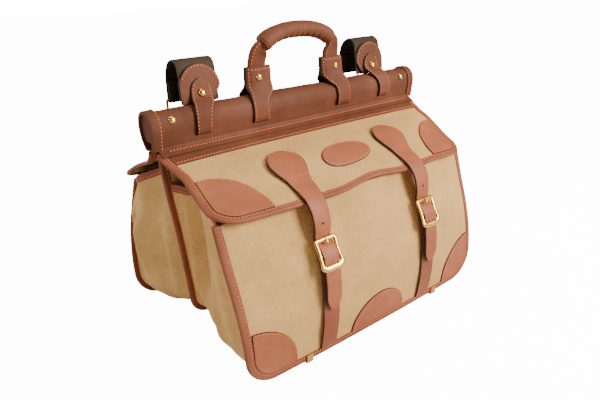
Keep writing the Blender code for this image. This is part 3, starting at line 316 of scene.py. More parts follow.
# %% surfaces of the panels and flaps
def panel_surface(x, z, lift, side):
    """The end line plus a swell that falls to the ends as |x| to the power 2.5, less shallow dents."""
    x, z, lift = as_grids(x, z, lift)
    swell = 1 - np.minimum(np.abs(x / 0.218), 1.05) ** 2.5
    out = read_table(PANEL_OUT, 1, z) + read_table(PANEL_OUT, 2, z) * swell
    free = (1 - ease(np.abs(x), 0.165, 0.204)) * ease(z, 0.014, 0.040) * (1 - ease(z, 0.170, 0.192))
    dent = 0.0008 * (1 + ripple(x, z * 0.7, 3 + int(side))) * free
    return np.stack((x, side * (out + lift - dent), z), axis=-1)


def flap_line(x, s, side):
    """Distance out and height of a flap: its middle line, blended to its end line by |x| cubed."""
    table, share = FLAPS[side], s / FLAP_LENGTHS[side]
    end = np.minimum(np.abs(x) / 0.2225, 1.02) ** 3
    out = read_table(table, 1, share) * (1 - end) + read_table(table, 3, share) * end
    height = read_table(table, 2, share) * (1 - end) + read_table(table, 4, share) * end
    return out, height


def flap_surface(x, s, lift, side):
    """The flap line plus lift along its normal, with soft waves that grow towards the lower edge."""
    x, s, lift = as_grids(x, s, lift)
    length = FLAP_LENGTHS[side]
    bow = FLAP_BOW * np.cos(np.clip((x - 0.018) / 0.068, -1, 1) * math.pi / 2) ** 2 * (side == FRONT)
    s = s - bow * ease(s, 0.050, length)
    out_a, height_a = flap_line(x, np.clip(s - 0.002, 0, length), side)
    out_b, height_b = flap_line(x, np.clip(s + 0.002, 0, length), side)
    run, fall = out_b - out_a, height_b - height_a
    size = np.hypot(run, fall)
    past = s - np.clip(s, 0, length)
    out, height = flap_line(x, s, side)
    between = np.cos(np.clip(np.abs(x) / 0.060, 0, 1) * math.pi / 2) ** 2
    wave = 0.0022 * between * ease(s, 0.075, length)
    free = (1 - ease(np.abs(x), 0.150, 0.205)) * ease(s, 0.030, 0.055)
    free = free * (1 - ease(s, length - 0.05, length - 0.02))
    wave = wave - 0.0006 * (1 + ripple(x, s, 8 + int(side))) * free
    lift = lift + wave
    height = height - FLAP_DROOP * ease(x, 0.140, 0.222) * ease(s, 0.080, length) * (side == FRONT)
    out = out + (lift * -fall + past * run) / size
    height = height + (lift * run + past * fall) / size
    return np.stack((x * (1 - FLAP_PULL * ease(s, 0.0, 0.060)), side * out, height), axis=-1)


def middle_surface(x, z, lift, side):
    """The flat middle panel: lift is measured off its own plane."""
    x, z, lift = as_grids(x, z, lift)
    return np.stack((x, MIDDLE_Y + side * lift, z), axis=-1)


def both_faces(surface, x, v, side, lifts=(CANVAS / 2, -CANVAS / 2)):
    """The outer and the inner grid of a sheet that lies on a surface."""
    return [surface(x, v, lift, side) for lift in lifts]


def with_mirror(half, out):
    """The left half of an outline and its outward directions, each followed by its mirror image."""
    flip = np.array((-1.0, 1.0))
    return np.concatenate((half * flip, half[-2::-1])), np.concatenate((out * flip, out[-2::-1]))


def under_outline(half_table, top, bottom, corner, inset, counts=(40, 18, 30)):
    """A panel's edge from its left top down, round its bottom and up, with outward directions."""
    n_side, n_corner, n_bottom = counts
    z_side = np.linspace(top, bottom + corner, n_side)
    side = np.column_stack((read_table(half_table, 1, z_side) - inset, z_side))
    centre_x = float(read_table(half_table, 1, bottom + corner)) - corner
    turn = np.linspace(0, math.pi / 2, n_corner + 1)[1:]
    bend = arc((centre_x, bottom + corner), (corner - inset, inset - corner), turn)
    base = np.column_stack((np.linspace(centre_x, 0, n_bottom + 1)[1:], np.full(n_bottom, bottom + inset)))
    half = np.concatenate((side, bend, base))
    out = np.concatenate((np.tile((1.0, 0.0), (n_side, 1)), np.column_stack((np.cos(turn), -np.sin(turn))),
                          np.tile((0.0, -1.0), (n_bottom, 1))))
    return with_mirror(half, out)


def flap_outline(side, start, inset, counts=(40, 20, 40)):
    """A flap's edge from its left seam end down, along its lower edge and up to the right."""
    n_side, n_corner, n_bottom = counts
    length = FLAP_LENGTHS[side]
    turn = np.linspace(0, math.pi / 2, n_corner + 1)[1:]
    reach = FLAP_CORNER - inset
    half = np.concatenate((
        np.column_stack((np.full(n_side, FLAP_HALF - inset),
                         np.linspace(start, length - FLAP_CORNER, n_side))),
        arc((FLAP_HALF - FLAP_CORNER, length - FLAP_CORNER), reach, turn),
        np.column_stack((np.linspace(FLAP_HALF - FLAP_CORNER, 0, n_bottom + 1)[1:],
                         np.full(n_bottom, length - inset)))))
    out = np.concatenate((np.tile((1.0, 0.0), (n_side, 1)), np.column_stack((np.cos(turn), np.sin(turn))),
                          np.tile((0.0, 1.0), (n_bottom, 1))))
    return with_mirror(half, out)


print("front panel stands out", round(float(-panel_surface(0, 0.12, 0, FRONT)[1]), 4), "m")

# %% [markdown]
# Two effects are shared by several finishes, so each is a node group that is built once.
# The grain group gives the pebbled skin of leather: a Voronoi cell pattern for the pores and
# two noises for creases and clouds. The weave group crosses two sine bands, as warp and
# weft cross, and reads the cloth's own UV map, which is in metres.

# %% node groups for grain and weave
def new_group(name, place, scale, outputs):
    """An empty shader group that takes a place and a scale and gives numbers, with its two end nodes."""
    group = bpy.data.node_groups.new(name, "ShaderNodeTree")
    group.interface.new_socket(place, in_out="INPUT", socket_type="NodeSocketVector")
    group.interface.new_socket(scale, in_out="INPUT", socket_type="NodeSocketFloat")
    for title in outputs:
        group.interface.new_socket(title, in_out="OUTPUT", socket_type="NodeSocketFloat")
    return group, group.nodes.new("NodeGroupInput"), group.nodes.new("NodeGroupOutput")


def joined(tree, kind, settings=(), **links):
    """A node with its properties set, whose named or numbered inputs are linked or given values."""
    made = tree.nodes.new("ShaderNode" + kind)
    for title, value in settings:
        setattr(made, title, value)
    for title, value in links.items():
        socket = made.inputs[int(title[1:]) if title[1:].isdigit() else title.replace("_", " ")]
        if isinstance(value, bpy.types.NodeSocket):
            tree.links.new(value, socket)
        else:
            socket.default_value = value
    return made


def build_grain():
    """Height is pores plus creases. Cloud is a slow uneven mask between 0 and 1."""
    group, ins, outs = new_group("leather_grain", "Place", "Pore Scale", ("Height", "Cloud"))
    pores = joined(group, "TexVoronoi", [("feature", "DISTANCE_TO_EDGE")],
                   Vector=ins.outputs["Place"], Scale=ins.outputs["Pore Scale"])
    open_pores = joined(group, "MapRange", Value=pores.outputs["Distance"], From_Min=0.0, From_Max=0.22)
    crease = joined(group, "TexNoise", Vector=ins.outputs["Place"], Scale=120.0, Detail=6.0, Roughness=0.65)
    cloud = joined(group, "TexNoise", Vector=ins.outputs["Place"], Scale=14.0, Detail=4.0, Roughness=0.6)
    height = joined(group, "Math", [("operation", "MULTIPLY_ADD")],
                    i0=open_pores.outputs["Result"], i1=0.35, i2=crease.outputs["Fac"])
    soft = joined(group, "MapRange", Value=cloud.outputs["Fac"], From_Min=0.30, From_Max=0.70)
    group.links.new(height.outputs[0], outs.inputs["Height"])
    group.links.new(soft.outputs["Result"], outs.inputs["Cloud"])
    return group


def build_weave():
    """Height is the product of two crossed sine bands, made uneven by a fine noise."""
    group, ins, outs = new_group("plain_weave", "Cloth", "Threads", ("Height", "Slub"))
    waver = joined(group, "TexNoise", Vector=ins.outputs["Cloth"], Scale=60.0, Detail=2.0)
    nudge = joined(group, "VectorMath", [("operation", "MULTIPLY")], i0=waver.outputs["Color"],
                   i1=(0.002, 0.002, 0.0))
    placed = joined(group, "VectorMath", [("operation", "ADD")], i0=ins.outputs["Cloth"],
                    i1=nudge.outputs["Vector"])
    warp, weft = (joined(group, "TexWave", [("bands_direction", direction)], Vector=placed.outputs["Vector"],
                         Scale=ins.outputs["Threads"], Distortion=0.4).outputs["Fac"]
                  for direction in ("X", "Y"))
    cross = joined(group, "Math", [("operation", "MULTIPLY")], i0=warp, i1=weft)
    slub = joined(group, "TexNoise", Vector=ins.outputs["Cloth"], Scale=360.0, Detail=5.0, Roughness=0.78)
    group.links.new(cross.outputs[0], outs.inputs["Height"])
    group.links.new(slub.outputs["Fac"], outs.inputs["Slub"])
    return group


GRAIN, WEAVE = build_grain(), build_weave()
print("groups:", GRAIN.name, WEAVE.name)

# %% [markdown]
# A finish is a Principled shader with its own colours. Leather is two close browns mixed by
# the grain's clouds, with a gloss that also varies. Canvas is a khaki whose threads are a
# little lighter and darker. Brass is a plain polished metal with faint rubbing marks.

# %% the finishes
def linear(red, green, blue):
    """A screen colour from 0 to 255 as the linear light that shaders work with."""
    c = np.array((red, green, blue)) / 255
    return tuple(np.where(c <= 0.04045, c / 12.92, ((c + 0.055) / 1.055) ** 2.4).tolist()) + (1.0,)


def colour_mix(tree, share, dark, light):
    """Two screen colours mixed by a share between 0 and 1."""
    return joined(tree, "Mix", [("data_type", "RGBA")], i0=share, i6=linear(*dark),
                  i7=linear(*light)).outputs["Result"]


def new_finish(name):
    """A material with nodes, and its Principled shader."""
    made = bpy.data.materials.new(name)
    made.use_nodes = True
    return made, made.node_tree, made.node_tree.nodes["Principled BSDF"]


def leather_finish(name, light, dark, depth=0.0005, gloss=(0.46, 0.62), pores=900.0, shine=0.35):
    """Two browns mixed by slow clouds, a gloss that follows them, and pebbled grain."""
    made, tree, shader = new_finish(name)
    place = joined(tree, "TexCoord")
    grain = joined(tree, "Group", [("node_tree", GRAIN)], Place=place.outputs["Object"], Pore_Scale=pores)
    mixed = colour_mix(tree, grain.outputs["Cloud"], dark, light)
    rough = joined(tree, "MapRange", Value=grain.outputs["Cloud"], To_Min=gloss[1], To_Max=gloss[0])
    bump = joined(tree, "Bump", Strength=0.35, Distance=depth, Height=grain.outputs["Height"])
    tree.links.new(mixed, shader.inputs["Base Color"])
    tree.links.new(rough.outputs["Result"], shader.inputs["Roughness"])
    tree.links.new(bump.outputs["Normal"], shader.inputs["Normal"])
    shader.inputs["Specular IOR Level"].default_value = shine
    return made


def cloth_finish(name, light, dark, threads, depth, sheen):
    """Two thread colours mixed by slubs and slow fading, with the weave's height as bump."""
    made, tree, shader = new_finish(name)
    place = joined(tree, "TexCoord")
    weave = joined(tree, "Group", [("node_tree", WEAVE)], Cloth=place.outputs["UV"], Threads=threads)
    fade = joined(tree, "TexNoise", Vector=place.outputs["Object"], Scale=16.0, Detail=8.0, Roughness=0.72)
    shade = joined(tree, "Math", [("operation", "MULTIPLY_ADD")], i0=weave.outputs["Slub"], i1=1.5,
                   i2=fade.outputs["Fac"])
    spread = joined(tree, "MapRange", Value=shade.outputs[0], From_Min=0.98, From_Max=1.52)
    mixed = colour_mix(tree, spread.outputs["Result"], dark, light)
    height = joined(tree, "Math", [("operation", "MULTIPLY_ADD")], i0=weave.outputs["Slub"], i1=0.6,
                    i2=weave.outputs["Height"])
    bump = joined(tree, "Bump", Strength=0.5, Distance=depth, Height=height.outputs[0])
    tree.links.new(mixed, shader.inputs["Base Color"])
    tree.links.new(bump.outputs["Normal"], shader.inputs["Normal"])
    shader.inputs["Roughness"].default_value = 0.9
    shader.inputs["Sheen Weight"].default_value = sheen
    shader.inputs["Specular IOR Level"].default_value = 0.2
    return made


def brass_finish():
    """Yellow metal, polished, with faint rubbing in the gloss."""
    made, tree, shader = new_finish("polished_brass")
    place = joined(tree, "TexCoord")
    rub = joined(tree, "TexNoise", Vector=place.outputs["Object"], Scale=400.0, Detail=3.0)
    rough = joined(tree, "MapRange", Value=rub.outputs["Fac"], To_Min=0.14, To_Max=0.34)
    mixed = colour_mix(tree, rub.outputs["Fac"], (222, 166, 70), (248, 206, 112))
    tree.links.new(mixed, shader.inputs["Base Color"])
    tree.links.new(rough.outputs["Result"], shader.inputs["Roughness"])
    shader.inputs["Metallic"].default_value = 1.0
    return made


TAN = leather_finish("tan_leather", (168, 96, 60), (144, 76, 44), shine=0.28)
RAIL = leather_finish("rail_leather", (112, 64, 40), (88, 46, 26), gloss=(0.56, 0.72), shine=0.20)
HANDLE = leather_finish("handle_leather", (116, 66, 42), (92, 50, 30), gloss=(0.54, 0.72), shine=0.18)
TAPE = leather_finish("tape_leather", (146, 82, 52), (122, 62, 36), pores=1300.0, shine=0.28)
# The dark finish is edge dye on cut edges. It is also painted shade in needle holes and punched holes, and
# painted shadow in narrow bands beside cut edges.
EDGE_DYE_AND_SHADE = leather_finish("edge_dye_and_painted_shade", (38, 24, 18), (24, 15, 11), depth=0.0002)
STRAPPING = leather_finish("dark_strapping", (70, 54, 36), (50, 38, 25), gloss=(0.62, 0.78), shine=0.15,
                           pores=1200.0)
KHAKI = cloth_finish("khaki_canvas", (228, 176, 108), (192, 142, 78), 420.0, 0.0007, 0.0)
THREAD = cloth_finish("orange_thread", (244, 130, 74), (220, 104, 56), 1500.0, 0.0001, 0.05)
BRASS = brass_finish()
print("finishes:", len(bpy.data.materials))

# %% [markdown]
# Stitches hold every piece, and their dotted lines are what makes leather work look sewn. Each
# is a short grain of thread. One small shape is repeated along a line at an even pitch, all
# the stitches of a line being one array, and each lies half sunk in the leather.

# %% stitches
STITCH_PITCH = 0.0044
STITCH_LONG = 0.0030
STITCH_WIDE = 0.00115
_along = np.array((-0.5, -0.36, 0.36, 0.5))
_round = np.array((0.35, 1.0, 1.0, 0.35))
_turn = full_turn(6)
THREAD_SEED = np.stack([np.column_stack((np.full(6, a), r * np.cos(_turn), r * np.sin(_turn)))
                        for a, r in zip(_along, _round)]).reshape(-1, 3)
# Painted shade of the needle holes: a thin dark lozenge below the thread, longer than the stitch, so that
# the leather looks dark at both ends of each stitch
_lozenge = np.array(((-0.72, 0), (-0.4, -0.8), (0.4, -0.8), (0.72, 0), (0.4, 0.8), (-0.4, 0.8)))
_brim, _foot = np.array((0.10, 0.14, 0.14, 0.10, 0.14, 0.14)), np.full(6, -0.5)
HOLE_SHADE_SEED = np.concatenate([np.column_stack((_lozenge, height)) for height in (_brim, _foot)])
SEED = np.concatenate((THREAD_SEED, HOLE_SHADE_SEED))
THREAD_FACES = 22
SEED_FACES = np.concatenate((
    quads(4, 6, wrap_columns=True), ((0, 1, 2, 3), (3, 4, 5, 0), (21, 20, 19, 18), (18, 23, 22, 21)),
    24 + np.array(((0, 3, 2, 1), (0, 5, 4, 3), (6, 7, 8, 9), (9, 10, 11, 6))),
    24 + np.array([(k, (k + 1) % 6, (k + 1) % 6 + 6, k + 6) for k in range(6)])))


def stitch_line(path, up):
    """Stitches along a path: each seed is turned to the path's direction and the surface's normal."""
    path, up = np.asarray(path, float), np.asarray(up, float)
    length = run_length(path)
    count = max(2, int(length[-1] / STITCH_PITCH))
    at = (np.arange(count) + 0.5) * length[-1] / count
    middle = read_line(length, path, at)
    along = unit(read_line(length, path, at + 0.0005) - read_line(length, path, at - 0.0005))
    across = unit(np.cross(read_line(length, up, at), along))
    normal = np.cross(along, across)
    return (middle[:, None, :] + STITCH_LONG * SEED[None, :, :1] * along[:, None, :]
            + STITCH_WIDE / 2 * SEED[None, :, 1:2] * across[:, None, :]
            + STITCH_WIDE * 0.6 * SEED[None, :, 2:3] * normal[:, None, :])


def surface_stitches(surface, flat, lift, side):
    """Stitches along a flat line of a surface, with the normal found from a little more lift."""
    low = surface(flat[:, 0], flat[:, 1], lift, side)
    high = surface(flat[:, 0], flat[:, 1], lift + 0.002, side)
    return stitch_line(low, high - low)


def add_stitches(name, groups):
    """One piece that holds several lines of stitches."""
    points = np.concatenate(groups)
    count = len(points)
    faces = (SEED_FACES[None] + len(SEED) * np.arange(count)[:, None, None]).reshape(-1, 4)
    # The lozenges take the dark second finish as painted shade of the needle holes
    hole_shade_face = np.tile(np.arange(len(SEED_FACES)) >= THREAD_FACES, count)
    piece = sewn_piece(name, points.reshape(-1, 3), faces, [THREAD, EDGE_DYE_AND_SHADE], second=hole_shade_face)
    print(name, count, "stitches")
    return piece


# %% [markdown]
# The canvas panels are single curved sheets. Each is a grid over its pattern, laid on the
# panel surface twice, once above and once below the middle of the cloth, and closed round
# its edge. The edge tape covers that edge, as on the real bag.

# %% canvas panels
def spread_rows(v, half, past_corner, reach, columns=121):
    """Places over a sheet with round corners: half - reach + sqrt(reach² - past_corner²) is the
    half length of a row, past_corner being how far it lies beyond the corner's start."""
    past_corner = np.clip(past_corner, 0, reach)
    half = half - reach + np.sqrt(np.clip(reach ** 2 - past_corner ** 2, 0, None))
    x = half[:, None] * np.linspace(-1, 1, columns)
    return x, np.broadcast_to(v[:, None], x.shape)


def panel_grid(half_table, rows=66, corner_rows=24):
    """Places (x, z) over a panel: rows run from top to bottom, closer together in the corners."""
    reach, start = PANEL_CORNER - CANVAS_INSET, PANEL_BOTTOM + PANEL_CORNER
    turn = np.linspace(0, math.pi / 2, corner_rows)
    z = np.concatenate((np.linspace(PANEL_TOP - 0.0005, start, rows, endpoint=False),
                        start - reach * np.sin(turn)))
    return spread_rows(z, read_table(half_table, 1, np.maximum(z, start)) - CANVAS_INSET, start - z, reach)


for prefix, half_table, side in HALVES:
    x, z = panel_grid(half_table)
    piece = add_wall(f"{prefix}_panel_canvas", both_faces(panel_surface, x, z, side), [KHAKI],
                     [f"{prefix}_panel"], cloth=(x, z))
    print(piece.name, len(piece.data.polygons), "faces")

# %% [markdown]
# The middle panel stands upright between the two halves of the bag and hangs from the
# rail. Only its lower edge and its taped sides show. It is the same kind of sheet, but flat.

# %% middle panel
z, start = np.linspace(MIDDLE_TOP, MIDDLE_BOTTOM + TAPE_WIDE, 60), MIDDLE_BOTTOM + MIDDLE_CORNER
x, z = spread_rows(z, read_table(MIDDLE_HALF, 1, np.maximum(z, start)) - CANVAS_INSET, start - z,
                   MIDDLE_CORNER - CANVAS_INSET, 41)
middle = add_wall("middle_panel_canvas", both_faces(middle_surface, x, z, FRONT), [KHAKI],
                  ["middle_panel"], cloth=(x, z))
print(middle.name, len(middle.data.polygons), "faces")

# %% [markdown]
# A gusset joins the middle panel to an outer panel and gives the bag its depth. The real
# one is soft, so it falls into a fold beside the middle panel and swells further out. Here a
# straight sheet runs between the two edges. The table's swell pushes it outwards, and a few
# bell curves across it raise the ridges and sink the hollows.

# %% gussets
# Share across the gusset at its top, drift of it down the bag, half width, rise, lowest and highest place
FOLDS = {
    FRONT: ((0.15, 0.02, 0.055, 0.0100, 0.075, 0.200), (0.33, 0.02, 0.095, -0.0190, 0.100, 0.300),
            (0.62, 0.20, 0.080, 0.0060, 0.060, 0.135), (0.40, 0.14, 0.055, 0.0050, 0.050, 0.100)),
    REAR: ((0.34, 0.30, 0.190, -0.0180, 0.172, 0.300), (0.46, 0.40, 0.110, 0.0110, 0.075, 0.165),
           (0.16, 0.10, 0.060, 0.0070, 0.060, 0.160), (0.84, 0.05, 0.065, 0.0060, 0.070, 0.180),
           (0.68, 0.20, 0.060, -0.0090, 0.065, 0.150)),
}

# How far the cloth reaches in under the edge tapes, its distance from the middle of the tapes, and
# the height below which the top edge's rise no longer tells
HIDDEN, BESIDE_TAPE, STILL_BELOW = 0.008, 0.0026, 0.08
# Section of the tape on a gusset's top edge: across the cloth, then up
TOP_TAPE = np.array(((0.0022, -0.0008), (0.0023, 0.003), (0.0021, 0.0072), (0.0012, 0.0090)))
TOP_TAPE = np.concatenate((TOP_TAPE, TOP_TAPE[::-1] * np.array((-1.0, 1.0))))


def fold(share, height, side):
    """Soft ridges and hollows on a gusset: bell curves across it, each between two heights."""
    down = np.clip((0.205 - height) / 0.170, 0, 1)
    total = 0.0
    for start, drift, half, rise, low, high in FOLDS[side]:
        across = (share - start - drift * down) / half
        here = ease(height, low - 0.03, low + 0.03) * (1 - ease(height, high - 0.03, high + 0.03))
        total = total + rise * np.exp(-across ** 2) * here
    return total


def gusset_grid(half_table, side, rows=90):
    """Rows blend the middle edge into the outer edge, and swell outwards. Columns run round the U."""
    table = GUSSETS[side]
    counts = (40, 18, 30)
    first, out = under_outline(MIDDLE_HALF, table[0][1], MIDDLE_BOTTOM, MIDDLE_CORNER, HIDDEN, counts)
    last, _ = under_outline(half_table, table[-1][1], PANEL_BOTTOM, PANEL_CORNER, HIDDEN, counts)
    start = np.insert(first, 1, MIDDLE_Y + side * BESIDE_TAPE, axis=1)
    end = panel_surface(last[:, 0], last[:, 1], -BESIDE_TAPE, side)
    away = np.insert(out, 1, 0.0, axis=1)
    share = np.linspace(0, 1, rows)[:, None, None]
    grid = start * (1 - share) + end * share
    at = share[..., 0]
    straight = table[0][1] * (1 - at) + table[-1][1] * at
    upper = np.clip((grid[..., 2] - STILL_BELOW) / (straight - STILL_BELOW), 0, 1)
    grid[..., 2] += (read_table(table, 1, at) - straight) * upper
    high = ease(first[:, 1], 0.060, 0.205)
    swell = read_table(table, 2, at) * high + read_table(table, 3, at) * (1 - high)
    free = ease(at, 0.03, 0.12) * (1 - ease(at, 0.88, 0.98))
    swell = swell + 0.0012 * ripple(grid[..., 1] * 1.4, grid[..., 2] * 0.6, 21 + int(side)) * free
    return grid + away * (swell + fold(at, grid[..., 2], side) * free)[..., None], away


for prefix, half_table, side in HALVES:
    grid, away = gusset_grid(half_table, side)
    around = np.broadcast_to(run_length(grid[len(grid) // 2])[None, :], grid.shape[:2])
    across = np.broadcast_to(np.linspace(0, 0.13, len(grid))[:, None], grid.shape[:2])
    piece = add_wall(f"{prefix}_gusset_canvas", (grid, grid - CANVAS * away), [KHAKI],
                     [f"{prefix}_gusset"], cloth=(around, across))
    groups = []
    for word, column in (("left", 0), ("right", -1)):
        line = grid[:, column] - 0.5 * CANVAS * away[column]
        share = np.linspace(0, 1, len(line))
        line[:, 1] += side * 0.0012 * (0.5 - share)
        lean = np.zeros_like(line)
        lean[:, 1] = -side * 0.32 * share ** 4
        lean[:, 2] = 1.0
        rings = (line[:, None, :] + TOP_TAPE[None, :, :1] * away[column]
                 + TOP_TAPE[None, :, 1:] * lean[:, None, :])
        add_skin(f"{prefix}_gusset_tape_{word}", rings, TAPE, [f"{prefix}_gusset_edge_{word}"])
        seam = line + 0.0022 * away[column] + 0.0022 * lean
        groups.append(stitch_line(seam, np.tile(away[column], (len(seam), 1))))
    add_stitches(f"{prefix}_gusset_stitches", groups)
    long_way = np.linalg.norm(np.diff(grid, axis=1), axis=2).sum(axis=1).mean()
    short_way = np.linalg.norm(np.diff(grid, axis=0), axis=2).sum(axis=0).mean()
    print(piece.name, "takes", round(float(long_way), 3), "m by", round(float(short_way), 3), "m of cloth")

# %% [markdown]
# Edge tape is a strip of leather folded over the edge of the canvas and sewn through. Its
# section is carried along the edge: full at the fold, drawn in at the seam, and thin where
# it ends on the cloth. A slow ripple along it keeps the fold from looking machined.

# %% edge tape
TAPE_SECTION = np.array(((-0.0104, 0.0012), (-0.0102, 0.0019), (-0.0088, 0.0022), (-0.0076, 0.0020),
                         (-0.0064, 0.0023), (-0.0038, 0.0025), (-0.0016, 0.0024), (-0.0004, 0.0016),
                         (0.0000, 0.0006)))
TAPE_SECTION = np.concatenate((TAPE_SECTION, TAPE_SECTION[::-1] * np.array((1.0, -1.0))))
SEAM_IN, SEAM_LIFT = 0.0076, 0.0021


def add_tape(name, surface, line, out, side, stands_for, seed):
    """The section carried along an edge, and a seam on both faces. Its first number is measured
    outwards in the cloth, its second off the cloth."""
    at = run_length(line)
    full = np.clip(1 + 0.10 * ripple(at, at * 0.3, seed), 0.8, 1.12)
    rings = np.stack([surface(line[:, 0] + a * out[:, 0], line[:, 1] + a * out[:, 1], b * full, side)
                      for a, b in TAPE_SECTION], axis=1)
    across = np.tile(np.linspace(0, 0.024, len(TAPE_SECTION)), (len(line), 1))
    flat = np.column_stack((np.repeat(at, len(TAPE_SECTION)), across.ravel()))
    add_skin(name, rings, TAPE, [stands_for], uv=flat)
    seam = line - SEAM_IN * out
    add_stitches(name.replace("tape", "stitches"),
                 [surface_stitches(surface, seam, lift, side) for lift in (SEAM_LIFT, -SEAM_LIFT)])


for prefix, half_table, side in HALVES:
    line, out = under_outline(half_table, PANEL_TOP, PANEL_BOTTOM, PANEL_CORNER, 0.0, (70, 30, 60))
    add_tape(f"{prefix}_panel_tape", panel_surface, line, out, side, f"{prefix}_binding", 31)
    line, out = flap_outline(side, 0.0030, 0.0, (70, 30, 90))
    add_tape(f"{prefix}_flap_tape", flap_surface, line, out, side, f"{prefix}_flap_binding", 47)
line, out = under_outline(MIDDLE_HALF, MIDDLE_TOP - 0.006, MIDDLE_BOTTOM, MIDDLE_CORNER, 0.0, (70, 24, 50))
add_tape("middle_tape", middle_surface, line, out, FRONT, "middle_binding", 53)

# %% [markdown]
# A flap is a canvas sheet with a leather band sewn on next to the rail. The sheet is a grid
# whose rows narrow into the rounded lower corners. The band has a dark cut lower edge, with a
# row of stitches just above it.

# %% flaps
# Lift of what lies on the canvas: its underside, and the band's upper face
ON_CANVAS, BAND_LIFT = CANVAS / 2 + 0.0001, CANVAS / 2 + 0.0014
for prefix, _, side in HALVES:
    start, reach = FLAP_LENGTHS[side] - FLAP_CORNER, FLAP_CORNER - CANVAS_INSET
    s = np.concatenate((np.linspace(FLAP_BAND - 0.003, start, 60, endpoint=False),
                        start + reach * np.sin(np.linspace(0, math.pi / 2, 20))))
    x, s = spread_rows(s, FLAP_HALF - CANVAS_INSET, s - start, reach)
    piece = add_wall(f"{prefix}_flap_canvas", both_faces(flap_surface, x, s, side), [KHAKI],
                     [f"{prefix}_flap"], cloth=(x, s))
    x, s = as_grids((FLAP_HALF - TAPE_WIDE) * np.linspace(-1, 1, 161),
                    np.linspace(0.0004, FLAP_BAND, 16)[:, None])
    thin = 0.0006 * ease(s, FLAP_BAND - 0.0016, FLAP_BAND)
    grids = both_faces(flap_surface, x, s, side, (BAND_LIFT - thin, ON_CANVAS))
    add_wall(f"{prefix}_flap_leather_band", grids, [RAIL, EDGE_DYE_AND_SHADE], [f"{prefix}_flap_band"])
    line = np.column_stack((np.linspace(-0.213, 0.213, 160), np.full(160, FLAP_BAND - 0.0030)))
    add_stitches(f"{prefix}_band_stitches", [surface_stitches(flap_surface, line, BAND_LIFT, side)])
    print(piece.name, len(piece.data.polygons), "faces")

# %% [markdown]
# Patches strengthen the corners, and a plain oval badge sits on the flap. Each is cut from leather and laid
# on the cloth: rings of its outline shrink to its centre, and the edge is rounded down a little. The side of
# the cut is dark, and so is a narrow band of the face beside it, partly edge dye and partly painted shadow
# of the cut edge. Stitches run just inside it.

# %% leather patches
PATCH_THICK = 0.0016
PATCH_SEAM = CANVAS / 2 + 0.0017
BADGE_MIDDLE = (0.003, 0.0890)


def even_outline(outline, samples):
    """A closed outline at even steps, so that its rings are fair."""
    closed = np.concatenate((outline, outline[:1]))
    length = run_length(closed)
    at = np.linspace(0, length[-1], samples, endpoint=False)
    return read_line(length, closed, at)


def add_patch(name, outline, centre, surface, stands_for, thick=PATCH_THICK, low=ON_CANVAS, puff=0.0,
              finish=TAN, samples=160):
    """Rings of the outline shrink to the centre. Lift falls at the edge and can rise in the middle."""
    outline, centre = even_outline(np.asarray(outline, float), samples), np.asarray(centre, float)
    rim = 0.0007 / np.linalg.norm(outline - centre, axis=1).mean()
    share = np.concatenate(([1.0, 1 - rim / 2, 1 - rim, 1 - 2 * rim], np.linspace(0.92, 0.02, 22)))
    flat = centre + share[:, None, None] * (outline - centre)
    drop = np.zeros(len(share))
    drop[:2] = 0.0006, 0.0002
    high = (low + thick - drop + puff * (1 - share ** 4))[:, None]
    top, foot = both_faces(surface, flat[..., 0], flat[..., 1], FRONT, (high, low))
    face = quads(share.size, samples, wrap_columns=True)
    count = share.size * samples
    rim_a = np.arange(samples)
    rim_b = (rim_a + 1) % samples
    rim = np.stack((rim_a, rim_b, rim_b + count, rim_a + count), axis=-1)
    faces = np.concatenate((face, face[:, ::-1] + count, rim))
    mark = np.zeros(len(faces), bool)
    mark[2 * len(face):] = True
    # Painted shadow with edge dye: the outermost band of the face, about 0.7 mm wide, also takes the dark
    # finish
    mark[:2 * samples] = True
    inner = [count - samples + j for j in range(samples)]
    caps = [inner, [j + count for j in inner[::-1]]]
    points = np.concatenate((top.reshape(-1, 3), foot.reshape(-1, 3)))
    sewn_piece(name, points, faces, [finish, EDGE_DYE_AND_SHADE], [stands_for], mark, caps=caps)
    print(name, len(faces), "faces")


def corner_curve(corner_x, corner_v, reach, power=2.15, samples=60):
    """A rounded curve from the long edge to the side edge, as a superellipse of that power."""
    turn = np.linspace(0, math.pi / 2, samples)
    return np.column_stack((corner_x - reach[0] * np.cos(turn) ** (2 / power),
                            corner_v - reach[1] * np.sin(turn) ** (2 / power)))


inset = TAPE_WIDE + 0.0001
length = FLAP_LENGTHS[FRONT]
turn = np.linspace(0, math.pi / 2, 30)
flap_curve = corner_curve(FLAP_HALF - inset, length - inset, (0.0680, 0.0715))
flap_bend = arc((FLAP_HALF - FLAP_CORNER, length - FLAP_CORNER), FLAP_CORNER - inset, turn)
base = PANEL_BOTTOM + inset
side_x = float(read_table(FRONT_HALF, 1, PANEL_BOTTOM + PANEL_CORNER)) - inset
panel_curve = corner_curve(side_x, 0.0, (0.0620, 0.0640)) * np.array((1.0, -1.0)) + np.array((0.0, base))
reach = PANEL_CORNER - inset
panel_bend = arc((side_x - reach, base + reach), (reach, -reach), turn)
seams = []
for word, mirror in HANDS:
    for place, surface, curve, bend, inward in (
            ("flap", flap_surface, flap_curve, flap_bend, (0.0016, 0.0016)),
            ("panel", panel_surface, panel_curve, panel_bend, (0.0016, -0.0016))):
        outline = np.concatenate((curve, bend)) * (mirror, 1.0)
        add_patch(f"{place}_corner_{word}", outline, outline.mean(axis=0), surface, f"{place}_patch_{word}")
        seams.append(surface_stitches(surface, (curve[2:-2] + inward) * (mirror, 1.0), PATCH_SEAM, FRONT))
turn = np.linspace(0, math.pi, 60)
add_patch("base_half_round", arc((0.0, base), (0.0500, 0.0450), turn), (0.0, base + 0.018), panel_surface,
          "base_patch")
